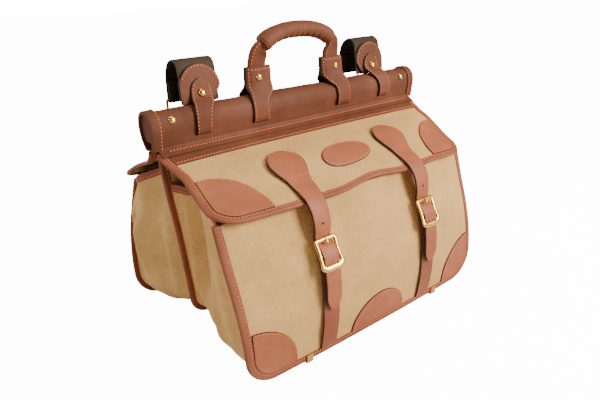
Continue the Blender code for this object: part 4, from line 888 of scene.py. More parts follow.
seams.append(surface_stitches(panel_surface, arc((0.0, base), (0.0474, 0.0424), turn), PATCH_SEAM, FRONT))
turn = np.linspace(0, 2 * math.pi, 120)
oval, inner_oval = (arc(BADGE_MIDDLE, reach, turn) for reach in ((0.0430, 0.0215), (0.0402, 0.0188)))
add_patch("plain_oval_badge", oval[:-1], BADGE_MIDDLE, flap_surface, "oval_badge", puff=0.0007)
seams.append(surface_stitches(flap_surface, inner_oval, PATCH_SEAM + 0.0001, FRONT))
add_stitches("patch_stitches", seams)

# %% [markdown]
# The rail is a padded bar along the top, wrapped in one thick piece of leather whose edges
# meet below it. Its section is a closed drop shape. A slow ripple along its length and round
# it gives the slight unevenness of padding under leather.

# %% the rail
RAIL_LINE = ((-0.0165, 0.2695), (-0.0190, 0.2830), (-0.0212, 0.2970), (-0.0190, 0.3075),
             (-0.0125, 0.3140), (-0.0040, 0.3160), (0.0050, 0.3140), (0.0110, 0.3070),
             (0.0125, 0.2970), (0.0105, 0.2860), (0.0050, 0.2760), (-0.0010, 0.2695))
RAIL_HALF = 0.2270
# How many points the rail has along it and round it
STATIONS, AROUND = 181, 72


def rail_ring(offset):
    """The rail's section, offset outwards from the leather's outer face, as (y, z)."""
    line = curve_through(RAIL_LINE, AROUND)
    ring = line + offset * side_normals(line)
    return np.column_stack((ring[:, 0], np.maximum(ring[:, 1], RAIL_LINE[0][1] - offset)))


along = np.linspace(-RAIL_HALF, RAIL_HALF, STATIONS)
outer_ring, inner_ring = rail_ring(0.0), rail_ring(-LEATHER)
normal = side_normals(curve_through(RAIL_LINE, AROUND))
around = run_length(outer_ring)
calm_ends = (1 - ease(np.abs(along), 0.205, 0.215))[:, None]
uneven = -0.0005 * (1 + ripple(along[:, None] * 0.8, around[None, :], 61)) * calm_ends
x = np.broadcast_to(along[:, None, None], (STATIONS, AROUND, 1))
outer = np.concatenate((x, outer_ring[None] + uneven[..., None] * normal[None]), axis=-1)
inner = np.concatenate((x, np.broadcast_to(inner_ring[None], (STATIONS, AROUND, 2))), axis=-1)
face = quads(STATIONS, AROUND, wrap_columns=True)
count = STATIONS * AROUND
first = np.arange(AROUND)
after = (first + 1) % AROUND
end = np.stack((first, after, after + count, first + count), axis=-1)
ends = np.concatenate((end, end[:, [1, 0, 3, 2]] + count - AROUND))
faces = np.concatenate((face, face[:, ::-1] + count, ends[:, ::-1]))
points = np.concatenate((outer.reshape(-1, 3), inner.reshape(-1, 3)))
sewn_piece("rail_leather_cover", points, faces, [RAIL], ["rail_cover"])
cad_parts["rail_bar"].data.materials.clear()
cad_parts["rail_bar"].data.materials.append(RAIL)
print("rail", len(faces), "faces")

# %% [markdown]
# Each end of the rail is bound with a strip of leather that lies over the cover and turns in
# round its cut edge. Its L-shaped section is carried round the rail, and a row of stitches
# holds it.

# %% rail ends
END_SECTION = ((0.2155, 0.0002), (0.2157, 0.0014), (0.2175, 0.0019), (0.2270, 0.0019), (0.2283, 0.0012),
               (0.2285, -0.0004), (0.2285, -0.0024), (0.2274, -0.0024), (0.2274, 0.0001))
line = curve_through(RAIL_LINE, AROUND)
line, normal = line[1:-1], side_normals(line)[1:-1]
seams = []
for word, mirror in HANDS:
    rings = np.stack([np.column_stack((np.full(len(line), mirror * x), line + offset * normal))
                      for x, offset in END_SECTION], axis=1)
    add_skin(f"rail_end_tape_{word}", rings, RAIL, [f"rail_end_{word}"])
    seam = np.column_stack((np.full(len(line), mirror * 0.2172), line + 0.0019 * normal))
    seams.append(stitch_line(seam, np.column_stack((np.zeros(len(line)), normal))))
add_stitches("rail_stitches", seams)

# %% [markdown]
# A strap has a path, a width that changes along it, and a thickness. The path is a line of
# (distance out, height) points, and the strap is a grid of the path by its width, offset
# to both sides. Its long edges are cut and dark. The middle of the strap is slightly
# proud of its edges, because a creasing tool runs along both of them.

# %% strap helper
def across_strap(columns, depth, crease_at, spread, edge_from):
    """Places across a strap from -1 to 1, and how far its face dips there: a bell-shaped crease
    near both edges, and edges that are rounded off."""
    across = np.linspace(-1, 1, columns)
    across[[1, -2]] = (-0.95, 0.95)
    away = np.abs(across)
    return across, depth * np.exp(-((away - crease_at) / spread) ** 2) + 0.0005 * ease(away, edge_from, 1.0)


def strap_arrays(line, low, high, thick, side, middle_x, on_flap=False, columns=15):
    """Grids above and below a path: across the strap, the surface dips near both edges.
    A strap that lies on a flap also follows the flap's slope across it."""
    normal = side_normals(line)
    across, dip = across_strap(columns, 0.00025, 0.80, 0.07, 0.93)
    x = middle_x + 0.5 * ((low + high)[:, None] + (high - low)[:, None] * across)
    lift = flap_tilt(x, line, side, middle_x) if on_flap else 0.0
    grids = []
    for reach in (thick / 2 - dip, np.full(columns, -thick / 2)):
        y = line[:, :1] + normal[:, :1] * reach
        z = line[:, 1:] + normal[:, 1:] * reach + lift
        grids.append(np.stack((x, side * y, np.broadcast_to(z, x.shape)), axis=-1))
    return grids


def strap_seams(grids):
    """Stitch lines near both long edges of a strap, on the third columns of its upper grid."""
    top, foot = grids
    return [stitch_line(top[:, k], (top - foot)[:, k]) for k in (2, -3)]


def cross_seam(grids, row, ends):
    """A line of stitches across a strap, which leaves out some columns at both ends."""
    top, foot = grids
    return stitch_line(top[row, ends:-ends], (top - foot)[row, ends:-ends])


def flap_tilt(x, line, side, middle_x):
    """How much lower a flap is at x than in the strap's middle. It fades out below the flap."""
    s = np.linspace(0.0, FLAP_LENGTHS[side], 80)
    out_mid, height_mid = flap_line(np.full(80, middle_x), s, side)
    fade = np.clip((line[:, 1] - 0.150) / 0.050, 0, 1)
    columns = []
    for k in range(x.shape[1]):
        out_here, height_here = flap_line(np.full(80, float(np.median(x[:, k]))), s, side)
        drop = np.interp(line[:, 0], out_here, height_here) - np.interp(line[:, 0], out_mid, height_mid)
        columns.append(fade * drop)
    return np.stack(columns, axis=1)


print("strap helper ready")

# %% [markdown]
# Where the rail meets the front flap, the leather runs on in one soft hollow. A narrow
# strip with the rail's finish covers the joint, with one row of stitches in the hollow.

# %% rail neck
NECK_LINE = ((0.0179, 0.2745), (0.0184, 0.2722), (0.0200, 0.2700), (0.0234, 0.2678), (0.0285, 0.2652))
line = curve_through(NECK_LINE, 40)
grids = strap_arrays(line, np.full(40, -0.2215), np.full(40, 0.2215), 0.0012, FRONT, 0.0, columns=121)
add_wall("rail_neck_strip", grids, [RAIL])
add_stitches("rail_neck_stitches", [cross_seam(grids, 18, 3)])

# %% [markdown]
# The front straps are sewn to the flap with round heads, run over its edge and through a
# buckle, and end in round tips. A short strap rises from the bottom of the bag to hold the
# buckle. A cross line of stitches closes each round head.

# %% front straps
STRAP_X, UPPER_THICK, LOWER_THICK = 0.0920, 0.0030, 0.0025
HEAD_RADIUS, TIP_LONG, STRAP_HALF_WIDE = 0.0260, 0.0210, 0.0125
# Half width where neither end shapes the strap, and the least half width at its ends
NO_LIMIT, LEAST_HALF = 1.0, 0.0012
STRAP_OVER_EDGE = ((0.1440, 0.2062), (0.1500, 0.1975), (0.1535, 0.1860), (0.1546, 0.1730),
                   (0.1537, 0.1645), (0.1541, 0.1582), (0.1622, 0.1512), (0.1674, 0.1440), (0.1693, 0.1330),
                   (0.1701, 0.1255), (0.1714, 0.1120), (0.1718, 0.0980), (0.1715, 0.0850),
                   (0.1708, 0.0725))
LOWER_STRAP = ((0.1566, 0.0120), (0.1592, 0.0220), (0.1620, 0.0350), (0.1652, 0.0600),
               (0.1656, 0.0850), (0.1650, 0.1080), (0.1636, 0.1260), (0.1608, 0.1375),
               (0.1602, 0.1440), (0.1600, 0.1475))
STRAP_HALF = ((0.0, 0.0260), (0.026, 0.0260), (0.036, 0.0235), (0.050, 0.0178), (0.070, 0.0152),
              (0.100, 0.0132), (0.125, 0.0125), (0.300, 0.0125))


def upper_strap_half(length):
    """Half width: the table's waist, cut to a circle at the head and to a longer ellipse at the tip."""
    half = read_table(STRAP_HALF, 1, length)
    near, far = np.clip(HEAD_RADIUS - length, 0, None), np.clip(TIP_LONG - (length[-1] - length), 0, None)
    head = np.sqrt(np.clip(HEAD_RADIUS ** 2 - near ** 2, 0, None)) + (near == 0) * NO_LIMIT
    tip = STRAP_HALF_WIDE * np.sqrt(np.clip(1 - (far / TIP_LONG) ** 2, 0, None)) + (far == 0) * NO_LIMIT
    return np.maximum(np.minimum(np.minimum(half, head), tip), LEAST_HALF)


s = np.array((0.0560, 0.0700, 0.0850, 0.1000, 0.1150, 0.1280))
out, height = flap_line(np.full(6, STRAP_X), s, FRONT)
out_b, height_b = flap_line(np.full(6, STRAP_X), s + 0.002, FRONT)
size = np.hypot(out_b - out, height_b - height)
lift = CANVAS / 2 + 0.0018 + np.interp(s, (0.115, 0.131), (0.0001, 0.0017))
on_flap = np.column_stack((out - lift * (height_b - height) / size, height + lift * (out_b - out) / size))
path = curve_through(np.concatenate((on_flap, STRAP_OVER_EDGE)), 260)
length = run_length(path)
close_to_ends = (np.linspace(0, 0.004, 12)[1:], length[-1] - np.linspace(0, 0.003, 10)[1:])
path = read_line(length, path, np.sort(np.concatenate((length, *close_to_ends))))
along = run_length(path)
half = upper_strap_half(along)
lower = curve_through(LOWER_STRAP, 110)
seams = []
for word, mirror in HANDS:
    grids = strap_arrays(path, -half, half, UPPER_THICK, FRONT, mirror * STRAP_X, on_flap=True, columns=21)
    add_wall(f"closing_strap_{word}", grids, [TAN, EDGE_DYE_AND_SHADE], [f"upper_strap_{word}"], dye_and_shadow_sides=True)
    keep = (along > 0.004) & (along < length[-1] - 0.003)
    seams += strap_seams([g[keep] for g in grids])
    seams.append(cross_seam(grids, int(np.searchsorted(along, 0.047)), 2))
    flat = np.full(len(lower), STRAP_HALF_WIDE)
    grids = strap_arrays(lower, -flat, flat, LOWER_THICK, FRONT, mirror * STRAP_X)
    # Painted shade: the buckle straps take the darker tape leather, so that they look shaded below the upper
    # straps, whose tips then stand out
    add_wall(f"buckle_strap_{word}", grids, [TAPE, EDGE_DYE_AND_SHADE], [f"lower_strap_{word}"], dye_and_shadow_sides=True)
    seams += strap_seams(grids)
add_stitches("front_strap_stitches", seams)
# Radius and depth of the rings of a punched hole
HOLE_SECTION = ((0.0020, 0.0012), (0.0020, 0.00158), (0.0016, 0.0016), (0.0004, 0.0016))
hole_row = int(np.argmin(np.abs(path[:, 1] - 0.1800)))
turn = full_turn(24)
for word, mirror in HANDS:
    rings = np.stack([np.insert(arc((mirror * STRAP_X, path[hole_row, 1]), reach, turn), 1,
                                -path[hole_row, 0] - depth, axis=1) for reach, depth in HOLE_SECTION])
    # Painted shade: the hole is a dark dish on the strap, not an opening; its dark stands for the dyed wall
    # and the shade inside the hole
    add_skin(f"punched_hole_{word}", rings, EDGE_DYE_AND_SHADE)

# %% [markdown]
# The buckles are cast brass. A rounded section is carried round the frame's outline, which
# is a little wider and heavier at its lower bar. The rod behind and the pin on top are
# separate turned pieces, as they are in a real buckle.

# %% buckles
BUCKLE_TOP, BUCKLE_BOTTOM = np.array((-0.1583, 0.1610)), np.array((-0.1733, 0.1290))
ROD_RADIUS = 0.0013


def rounded_loop(corners, radius, samples):
    """A closed line through corners, each rounded with a quadratic bend of that reach."""
    corners = np.asarray(corners, float)
    before, after = np.roll(corners, 1, axis=0), np.roll(corners, -1, axis=0)
    t = np.linspace(0, 1, 9)[None, :, None]
    start, end = corners + unit(before - corners) * radius, corners + unit(after - corners) * radius
    bend = (1 - t) ** 2 * start[:, None] + 2 * t * (1 - t) * corners[:, None] + t * t * end[:, None]
    return even_outline(bend.reshape(-1, 2), samples)


def loop_tube(path, half_wide, half_thick, sides=14):
    """An oval section carried round a closed flat path: across it in the plane, and out of the plane."""
    along = unit(np.roll(path, -1, axis=0) - np.roll(path, 1, axis=0))
    side = np.column_stack((along[:, 1], -along[:, 0]))
    turn = full_turn(sides)
    half_wide = np.broadcast_to(half_wide, (len(path),))
    flat = path[:, None, :] + half_wide[:, None, None] * np.cos(turn)[None, :, None] * side[:, None, :]
    rise = np.broadcast_to(half_thick * np.sin(turn), (len(path), sides))
    return np.concatenate((flat, rise[..., None]), axis=-1)


def round_rod(start, end, radius, sides=16):
    """A rod between two points with rounded ends: rings of a circle, smaller at both tips."""
    start, end = np.asarray(start, float), np.asarray(end, float)
    axis = unit(end - start)
    first = unit(np.cross(axis, (0.3, 0.5, 0.8)))
    second = np.cross(axis, first)
    turn = full_turn(sides)
    place = np.array((0.0, 0.25, 0.7, 1.2, -1.2, -0.7, -0.25, 0.0)) * radius
    wide = np.array((0.35, 0.7, 0.93, 1.0, 1.0, 0.93, 0.7, 0.35)) * radius
    foot = np.where(np.arange(8)[:, None] < 4, start, end) + place[:, None] * axis
    circle = np.cos(turn)[:, None] * first + np.sin(turn)[:, None] * second
    return foot[:, None, :] + wide[:, None, None] * circle[None]


high = float(np.linalg.norm(BUCKLE_TOP - BUCKLE_BOTTOM)) / 2
up = np.concatenate(((0.0,), (BUCKLE_TOP - BUCKLE_BOTTOM) / (2 * high)))
plane = np.array(((1.0, 0.0, 0.0), up, np.cross((1.0, 0.0, 0.0), up)))
corners = ((0.0150, high + 0.0003), (-0.0150, high + 0.0003), (-0.0141, 0.002), (-0.0154, -high + 0.0035),
           (-0.0100, -high + 0.0004), (0.0100, -high + 0.0004), (0.0154, -high + 0.0035), (0.0141, 0.002))
loop = rounded_loop(corners, 0.0022, 200)
heavy = 0.0026 + 0.0015 * ease(-loop[:, 1], high - 0.008, high - 0.002)
for word, mirror in HANDS:
    middle = np.array((mirror * STRAP_X, *((BUCKLE_TOP + BUCKLE_BOTTOM) / 2)))
    add_skin(f"buckle_frame_{word}", loop_tube(loop, heavy, 0.0017) @ plane + middle, BRASS,
             [f"buckle_{word}"], looped=True)
    for part, ends in (("rod", ((-0.0145, 0.0, -0.0026), (0.0145, 0.0, -0.0026))),
                       ("pin", ((0.0, high - 0.0060, 0.0030), (0.0, high + 0.0012, 0.0026)))):
        add_skin(f"buckle_{part}_{word}", round_rod(*ends, ROD_RADIUS) @ plane + middle, BRASS)
print("buckles done")

# %% [markdown]
# Domed rivets fasten the leather. A small profile is turned round an axis that stands on
# the leather. It is a plain low dome with a slightly rounded foot, like a pressed brass cap.

# %% rivets
RIVET_PROFILE = np.array(((0.92, 0.0), (1.0, 0.06), (0.99, 0.16), (0.94, 0.27), (0.85, 0.38), (0.72, 0.48),
                          (0.56, 0.56), (0.38, 0.61), (0.20, 0.64), (0.02, 0.65)))
RIVETS = (("rail_stud", 0.2000, -0.0196, 0.3050, (0, -1, 0.36), 0.0050),
          ("handle_stud", 0.0672, -0.0127, 0.3370, (0, -1, 0.10), 0.0048),
          ("tab_stud", 0.1495, -0.0070, 0.3285, (0, -0.93, 0.37), 0.0052))
for node, x, y, z, facing, radius in RIVETS:
    axis = unit(np.array(facing, float))
    first = np.array((1.0, 0.0, 0.0))
    circle = arc((0.0, 0.0), 1.0, full_turn(32)) @ np.stack((first, np.cross(axis, first)))
    for word, mirror in HANDS:
        rings = (np.array((mirror * x, y, z)) + radius * (RIVET_PROFILE[:, :1, None] * circle[None]
                                                         + RIVET_PROFILE[:, 1:, None] * axis))
        add_skin(f"{node}_cap_{word}", rings, BRASS, [f"{node}_{word}"])
print("rivets done")

# %% [markdown]
# The handle is a padded roll between two folded legs. The legs come up out of leather
# sleeves on both faces of the rail, and the sleeves' long edges pull together above it.
# A sleeve is a strap whose path climbs the rail and whose edges curl in.

# %% handle sleeves and tabs
LEG_Y = -0.0045
SLEEVE_FRONT = ((-0.0172, 0.2812), (-0.0200, 0.2825), (-0.0222, 0.2860), (-0.0230, 0.2925),
                (-0.0232, 0.2985), (-0.0212, 0.3085), (-0.0174, 0.3165), (-0.0132, 0.3260),
                (-0.0114, 0.3380), (-0.0108, 0.3500))
SLEEVE_REAR = ((0.0066, 0.2790), (0.0098, 0.2800), (0.0126, 0.2840), (0.0142, 0.2910), (0.0146, 0.2985),
               (0.0128, 0.3085), (0.0086, 0.3165), (0.0044, 0.3260), (0.0024, 0.3380), (0.0018, 0.3500))
SLEEVE_WIDTHS = ((0.279, 0.0612, 0.0862), (0.300, 0.0612, 0.0862), (0.309, 0.0590, 0.0860),
                 (0.316, 0.0510, 0.0856), (0.323, 0.0452, 0.0853), (0.335, 0.0440, 0.0850),
                 (0.350, 0.0440, 0.0842))
# The tabs lie on the rail as the front sleeves do, and then rise more steeply
TAB_FRONT = SLEEVE_FRONT[:5] + ((-0.0210, 0.3085), (-0.0150, 0.3170), (-0.0078, 0.3225), (-0.0042, 0.3310),
                                (-0.0036, 0.3380), (-0.0031, 0.3456))
# Height, then the distances of the inner and the outer edge from the bag's middle
TAB_WIDTHS = ((0.279, 0.1480, 0.1700), (0.300, 0.1478, 0.1700), (0.310, 0.1440, 0.1690),
              (0.318, 0.1375, 0.1668), (0.326, 0.1340, 0.1640), (0.333, 0.1345, 0.1630),
              (0.339, 0.1370, 0.1605), (0.343, 0.1405, 0.1570), (0.3456, 0.1455, 0.1520))


def crowned_grids(line, widths, mirror, curl, facing, columns=25):
    """Grids of a strap up the rail. Near its edges it curls to the upright plane LEG_Y."""
    line = curve_through(line, 110)
    normal = side_normals(line) * facing
    across, dip = across_strap(columns, 0.0002, 0.84, 0.06, 0.94)
    inner, outer = read_table(widths, 1, line[:, 1]), read_table(widths, 2, line[:, 1])
    x = mirror * 0.5 * ((inner + outer)[:, None] + (outer - inner)[:, None] * across)
    pull = curl * ease(line[:, 1], 0.316, 0.330)[:, None] * np.abs(across) ** 3.5
    reach = LEG_Y - line[:, :1]
    reach = reach - np.sign(reach) * (LEATHER / 2 + 0.0001)
    grids = []
    for depth in (LEATHER / 2 - dip, np.full(columns, -LEATHER / 2)):
        y = line[:, :1] + pull * reach + normal[:, :1] * depth
        z = line[:, 1:] + normal[:, 1:] * depth
        grids.append(np.stack((x, np.broadcast_to(y, x.shape), np.broadcast_to(z, x.shape)), axis=-1))
    return grids


seams = []
for word, mirror in HANDS:
    for face_word, line, facing in (("front", SLEEVE_FRONT, 1.0), ("rear", SLEEVE_REAR, -1.0)):
        grids = crowned_grids(line, SLEEVE_WIDTHS, mirror, 1.0, facing)
        add_wall(f"handle_sleeve_{face_word}_{word}", grids, [HANDLE, EDGE_DYE_AND_SHADE],
                 [f"sleeve_{face_word}_{word}"], dye_and_shadow_sides=True)
        seams += strap_seams(grids)
        seams.append(cross_seam(grids, -6, 3))
    grids = crowned_grids(TAB_FRONT, TAB_WIDTHS, mirror, 0.0, 1.0)
    add_wall(f"rail_tab_{word}", grids, [HANDLE, EDGE_DYE_AND_SHADE], [f"tab_{word}"], dye_and_shadow_sides=True)
    seams += strap_seams([g[:-8] for g in grids])
add_stitches("sleeve_and_tab_stitches", seams)

# %% [markdown]
# The grip is leather rolled round a soft core and closed with a raised seam along its back
# and top. The bend makes small creases underneath, deepest in the middle. So the section
# is a circle whose radius dips in narrow waves along the underside.

# %% the handle
# The grip's place from front to rear, and half its section's height and depth
GRIP_Y, GRIP_HIGH, GRIP_DEEP = -0.0120, 0.0108, 0.0115
CREASE_DEEP, CREASE_PITCH = 0.0019, 0.0105
BEAD_HIGH, HOLLOW_DEEP = 0.0017, 0.0006
GRIP_LINE = ((-0.0585, 0.3760), (-0.0500, 0.3820), (-0.0380, 0.3868), (-0.0200, 0.3908), (0.0, 0.3920),
             (0.0200, 0.3908), (0.0380, 0.3868), (0.0500, 0.3820), (0.0585, 0.3760))
# A leg's sections: x, y, z, half width, half thickness, turn of the width in degrees
LEG_ROWS = ((0.0588, -0.0120, 0.3758, 0.0090, 0.0060, 55.0), (0.0622, -0.0105, 0.3700, 0.0122, 0.0054, 32.0),
            (0.0640, -0.0072, 0.3620, 0.0140, 0.0048, 8.0), (0.0648, -0.0048, 0.3530, 0.0142, 0.0042, 0.0),
            (0.0652, -0.0045, 0.3400, 0.0136, 0.0036, 0.0), (0.0655, -0.0045, 0.3250, 0.0132, 0.0034, 0.0))
line = curve_through(GRIP_LINE, 150)
normal = side_normals(line)
turn = full_turn(48)
at = run_length(line) - run_length(line)[-1] / 2
under = np.clip(-np.sin(turn), 0, 1) ** 1.5
creases = CREASE_DEEP * np.clip(np.sin(at * 2 * math.pi / CREASE_PITCH + 0.8 * np.sin(at * 90)), 0, 1)
creases = creases * (1 - ease(np.abs(at), 0.030, 0.056))
soft = 0.0005 * ripple(at[:, None], turn[None, :] * 0.01, 77)
seam_angle = math.radians(62)
# A bead of leather along the seam, with a narrow hollow beside it
bead = BEAD_HIGH * np.exp(-((turn - seam_angle) / 0.085) ** 2)
bead -= HOLLOW_DEEP * np.exp(-((turn - seam_angle + 0.22) / 0.10) ** 2)
ends = 1 - 0.16 * ease(np.abs(at), at[-1] - 0.004, at[-1])
relief = bead[None] - creases[:, None] * under[None] + soft
upwards = (GRIP_HIGH * ends[:, None] + relief) * np.sin(turn)
outwards = (GRIP_DEEP * ends[:, None] + relief) * np.cos(turn)
rings = np.stack((line[:, :1] + upwards * normal[:, :1], GRIP_Y + outwards,
                  line[:, 1:] + upwards * normal[:, 1:]), axis=-1)
grip = add_skin("handle_roll", rings, HANDLE, ["handle_grip"])
seam_turn = seam_angle - 0.42
seam = np.insert(line + 0.0107 * math.sin(seam_turn) * normal, 1,
                 GRIP_Y + GRIP_DEEP * math.cos(seam_turn), axis=1)
seam_up = seam - np.insert(line, 1, GRIP_Y, axis=1)
seams = [stitch_line(seam[4:-4], seam_up[4:-4])]
rows = np.asarray(LEG_ROWS)
# The turn counts little beside the metres, so that the steps along the leg stay even
TURN_SHARE = 0.0005
legs = curve_through(rows * np.array((1, 1, 1, 1, 1, TURN_SHARE)), 90)
for word, mirror in HANDS:
    tilt = np.radians(legs[:, 5] / TURN_SHARE)[:, None]
    reach = legs[:, 3:4] * np.sign(np.cos(turn)) * np.abs(np.cos(turn)) ** 0.7
    pinch = 1 - 0.30 * np.exp(-(np.cos(turn) / 0.30) ** 2) * ease(legs[:, 2:3], 0.345, 0.362)
    thick = legs[:, 4:5] * np.sin(turn) * pinch
    rings = np.stack((mirror * (legs[:, :1] + reach * np.cos(tilt)), legs[:, 1:2] + thick,
                      legs[:, 2:3] + reach * np.sin(tilt)), axis=-1)
    add_skin(f"handle_leg_leather_{word}", rings, HANDLE, [f"handle_leg_{word}"])
    for column in (7, 17):
        for k, facing in ((column, 1.0), (-column, -1.0)):
            line = rings[4:60, k]
            seams.append(stitch_line(line, np.tile((0.0, facing, 0.0), (len(line), 1))))
add_stitches("handle_stitches", seams)

# %% [markdown]
# Behind each tab stands a rounded paddle of leather, and behind that the folded end of the
# shoulder strap, which holds a brass ring. The paddle is a flat patch on its own leaning
# plane.

# %% paddles
PADDLE_CENTRE, PADDLE_THICK = (0.1485, 0.3345), 0.0030


def paddle_surface(x, z, lift, side):
    """A plane that leans back a little as it rises. Lift is towards the front on either side."""
    x, z, lift = as_grids(x, z, lift)
    return np.stack((x, -0.0020 + 0.067 * (z - 0.3172) - lift, z), axis=-1)


turn = np.linspace(0, math.pi, 60)
outline = np.concatenate((arc(PADDLE_CENTRE, 0.0285, turn),
                          ((0.1265, 0.3240), (0.1340, 0.3160), (0.1755, 0.3160), (0.1768, 0.3240))))
seams = []
for word, mirror in HANDS:
    flip = np.array((mirror, 1.0))
    centre = np.array((0.1485, 0.3385)) * flip
    add_patch(f"paddle_leather_{word}", outline * flip, centre, paddle_surface, f"paddle_{word}",
              thick=PADDLE_THICK, low=-PADDLE_THICK / 2, finish=RAIL)
    inside = centre + 0.90 * (even_outline(outline, 120) * flip - centre)
    seams.append(surface_stitches(paddle_surface, inside[8:70], PADDLE_THICK / 2, FRONT))
add_stitches("paddle_stitches", seams)

# %% [markdown]
# The rings are bent from brass wire, wide enough for the strap. They are loops like the
# buckle frames, but with a plain round section and a lean to the rear.

# %% rings
WIRE_RADIUS = 0.0017
# Distance out, height and half length of a ring's upper and lower bar
RING_TOP, RING_BOTTOM = (0.0350, 0.3190, 0.0290), (0.0362, 0.2965, 0.0285)
corners = ((RING_TOP[2], RING_TOP[1]), (-RING_TOP[2], RING_TOP[1]), (-RING_BOTTOM[2], RING_BOTTOM[1]),
           (RING_BOTTOM[2], RING_BOTTOM[1]))
loop = rounded_loop(corners, 0.0030, 140)
tube = loop_tube(loop, WIRE_RADIUS, WIRE_RADIUS)
lean = (RING_TOP[0] - RING_BOTTOM[0]) / (RING_TOP[1] - RING_BOTTOM[1])
for word, mirror in HANDS:
    depth = RING_TOP[0] + lean * (tube[..., 1] - RING_TOP[1]) + tube[..., 2]
    placed = np.stack((tube[..., 0] + mirror * PADDLE_CENTRE[0], depth, tube[..., 1]), axis=-1)
    add_skin(f"strap_ring_wire_{word}", placed, BRASS, [f"strap_ring_{word}"], looped=True)
print("rings done")

# %% [markdown]
# The shoulder strap is one long dark strap. Its two ends are short folded pieces that hold
# the rings. The strap itself goes round the rings' lower bars, down over the rear flap, and
# lies on the floor behind the bag, with a quarter turn on each side. A path with a width
# direction describes it, and both are smooth curves through a few rows.

# %% shoulder strap
STRAP_END = ((0.0008, 0.3160), (0.0013, 0.3230), (0.0022, 0.3370), (0.0033, 0.3520), (0.0062, 0.3630),
             (0.0140, 0.3680), (0.0250, 0.3655), (0.0335, 0.3560), (0.0372, 0.3420),
             (0.0382, 0.3290), (0.0382, 0.3190), (0.0372, 0.3166), (0.0350, 0.3156),
             (0.0328, 0.3166), (0.0318, 0.3190), (0.0318, 0.3300), (0.0322, 0.3420))
SHOULDER_FIRST = ((0.0326, 0.2770), (0.0328, 0.2860), (0.0330, 0.2965), (0.0340, 0.2989),
                  (0.0362, 0.2999), (0.0384, 0.2989), (0.0394, 0.2965), (0.0408, 0.2850),
                  (0.0460, 0.2700), (0.0550, 0.2590))
# The folded ends: half their width and their thickness
FOLD_HALF, WEBBING_THICK = 0.0260, 0.0020
# The long strap: half its width, and the share of its quarter turn that counts beside the metres of its path
SHOULDER_HALF, TWIST_SHARE = 0.0250, 0.01
SHOULDER_DOWN = ((0.1485, 0.1475, 0.2010, 0.0), (0.1485, 0.1570, 0.1850, 0.0), (0.1485, 0.1660, 0.1600, 0.0),
                 (0.1485, 0.1720, 0.1300, 0.0), (0.1485, 0.1780, 0.0950, 0.1), (0.1470, 0.1840, 0.0600, 0.3),
                 (0.1400, 0.1910, 0.0320, 0.6), (0.1220, 0.1980, 0.0120, 0.85),
                 (0.0950, 0.2025, 0.0036, 1.0), (0.0500, 0.2050, 0.0018, 1.0), (0.0, 0.2055, 0.0015, 1.0))
line = curve_through(STRAP_END, 150)
half = np.full(len(line), FOLD_HALF)
for word, mirror in HANDS:
    grids = strap_arrays(line, -half, half, WEBBING_THICK, REAR, mirror * PADDLE_CENTRE[0])
    add_wall(f"strap_end_fold_{word}", grids, [STRAPPING, EDGE_DYE_AND_SHADE], [f"strap_end_{word}"])
s = np.array((0.0700, 0.0860, 0.1020, 0.1180, 0.1320, 0.1430))
lift = 0.0026 + np.interp(s, (0.125, 0.143), (0.0, 0.0016))
x_mid = PADDLE_CENTRE[0]
on_flap = flap_surface(np.full(6, x_mid), s, lift, REAR)
rows = np.concatenate((np.array([(x_mid, y, z, 0.0) for y, z in SHOULDER_FIRST]),
                       np.column_stack((on_flap, np.zeros(6))), np.array(SHOULDER_DOWN)))
path = curve_through(rows * np.array((1, 1, 1, TWIST_SHARE)), 420)
centre, twist = path[:, :3], np.clip(path[:, 3:] / TWIST_SHARE, 0, 1)
along = unit(np.gradient(centre, axis=0))
width = (1 - twist) * np.array((-1.0, 0, 0)) + twist * np.array((0, 1.0, 0))
width -= (width * along).sum(axis=1)[:, None] * along
width = unit(width)
out_dir = np.cross(along, width)
across = np.linspace(-1, 1, 13)
crown = WEBBING_THICK / 2 - 0.0003 * ease(np.abs(across), 0.90, 1.0)
x = centre[:, :1] + SHOULDER_HALF * across * width[:, :1]
shift = flap_tilt(x, centre[:, 1:], REAR, x_mid)
grids = []
for sign in (1.0, -1.0):
    grid = (centre[:, None, :] + SHOULDER_HALF * across[None, :, None] * width[:, None, :]
            + sign * crown[None, :, None] * out_dir[:, None, :])
    grid[..., 2] += shift * (centre[:, 2:] < 0.262) * (centre[:, 1:2] > 0.055)
    grid[-1, :, 0] = 0.0
    grids.append(np.concatenate((grid, grid[-2::-1] * np.array((-1.0, 1.0, 1.0)))))
add_wall("long_shoulder_strap", grids, [STRAPPING, EDGE_DYE_AND_SHADE], ["shoulder_strap"])
print("shoulder strap", round(2 * float(run_length(centre)[-1]), 2), "m long")

# %% [markdown]
# Small brass clips pinch the lower tape, and the bag stands on them. Their solids already
# have the right shape, so they stay. They only need the brass finish and softened edges.

# %% clips
for place in ("front", "rear"):
    for word in ("left", "right"):
        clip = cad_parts[f"{place}_clip_{word}"]
        clip.data.materials.clear()
        clip.data.materials.append(BRASS)
        soften = clip.modifiers.new("soft_edges", "BEVEL")
        soften.width = 0.0003
        soften.segments = 2
print("clips kept:", 4)

# %% [markdown]
# The studio is a pale floor under an even sky. The strongest lamp is large and soft and
# stands at the front right. A small one on the left, one above and one behind fill the
# shadows. The floor is far wider than the bag, so that it meets the sky without an edge in
# view. Only the camera sees the sky and the floor as bright as they look.

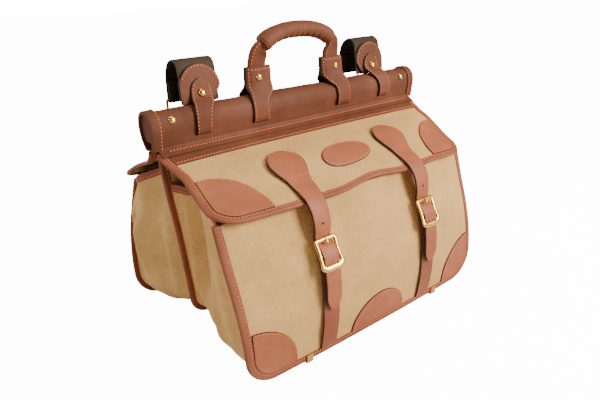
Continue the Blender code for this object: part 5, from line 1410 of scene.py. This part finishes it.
# %% floor and light
SKY_LIGHT, SKY_SEEN, FLOOR_GLOW = 0.19, 15.0, 13.5
FLOOR_HALF, FLOOR_LEVEL = 30.0, -0.0002
floor_mesh = bpy.data.meshes.new("studio_floor")
floor_mesh.from_pydata([(x * FLOOR_HALF, y * FLOOR_HALF, FLOOR_LEVEL)
                        for x, y in ((-1, -1), (1, -1), (1, 1), (-1, 1))],
                       [], [(0, 1, 2, 3)])
floor = bpy.data.objects.new("studio_floor", floor_mesh)
bpy.context.scene.collection.objects.link(floor)
floor_finish, floor_tree, floor_shader = new_finish("pale_floor")
floor_shader.inputs["Base Color"].default_value = (0.62, 0.62, 0.62, 1.0)
floor_shader.inputs["Roughness"].default_value = 0.9
floor_shader.inputs["Emission Color"].default_value = (1.0, 1.0, 1.0, 1.0)
seen = joined(floor_tree, "LightPath")
glow = joined(floor_tree, "Math", [("operation", "MULTIPLY")], i0=seen.outputs["Is Camera Ray"],
              i1=FLOOR_GLOW)
floor_tree.links.new(glow.outputs[0], floor_shader.inputs["Emission Strength"])
floor_mesh.materials.append(floor_finish)
world = bpy.data.worlds.new("studio_sky")
world.use_nodes = True
world.node_tree.nodes["Background"].inputs["Color"].default_value = (1.0, 1.0, 1.0, 1.0)
seen = joined(world.node_tree, "LightPath")
strength = joined(world.node_tree, "MapRange", Value=seen.outputs["Is Camera Ray"], To_Min=SKY_LIGHT,
                  To_Max=SKY_SEEN)
world.node_tree.links.new(strength.outputs["Result"], world.node_tree.nodes["Background"].inputs["Strength"])
bpy.context.scene.world = world
LAMPS = (("key_lamp", (0.95, -1.8, 1.15), 1.0, 94.0), ("side_lamp", (-2.0, -0.1, 0.8), 0.3, 12.0),
         ("top_lamp", (0.0, -0.2, 2.0), 1.0, 12.0), ("back_lamp", (-0.9, 1.7, 1.2), 1.0, 30.0))
LAMPS_AIM_AT = (0.0, 0.0, 0.15)
for name, place, size, power in LAMPS:
    lamp = bpy.data.lights.new(name, "AREA")
    lamp.size = size
    lamp.energy = power
    item = bpy.data.objects.new(name, lamp)
    back = unit(np.array(place) - LAMPS_AIM_AT)
    right = unit(np.cross((0.0, 0.0, 1.0), back))
    place_by_axes(item, right, np.cross(back, right), back, place)
print("lamps:", len(LAMPS))

# %% [markdown]

# %% end
print("scene built")
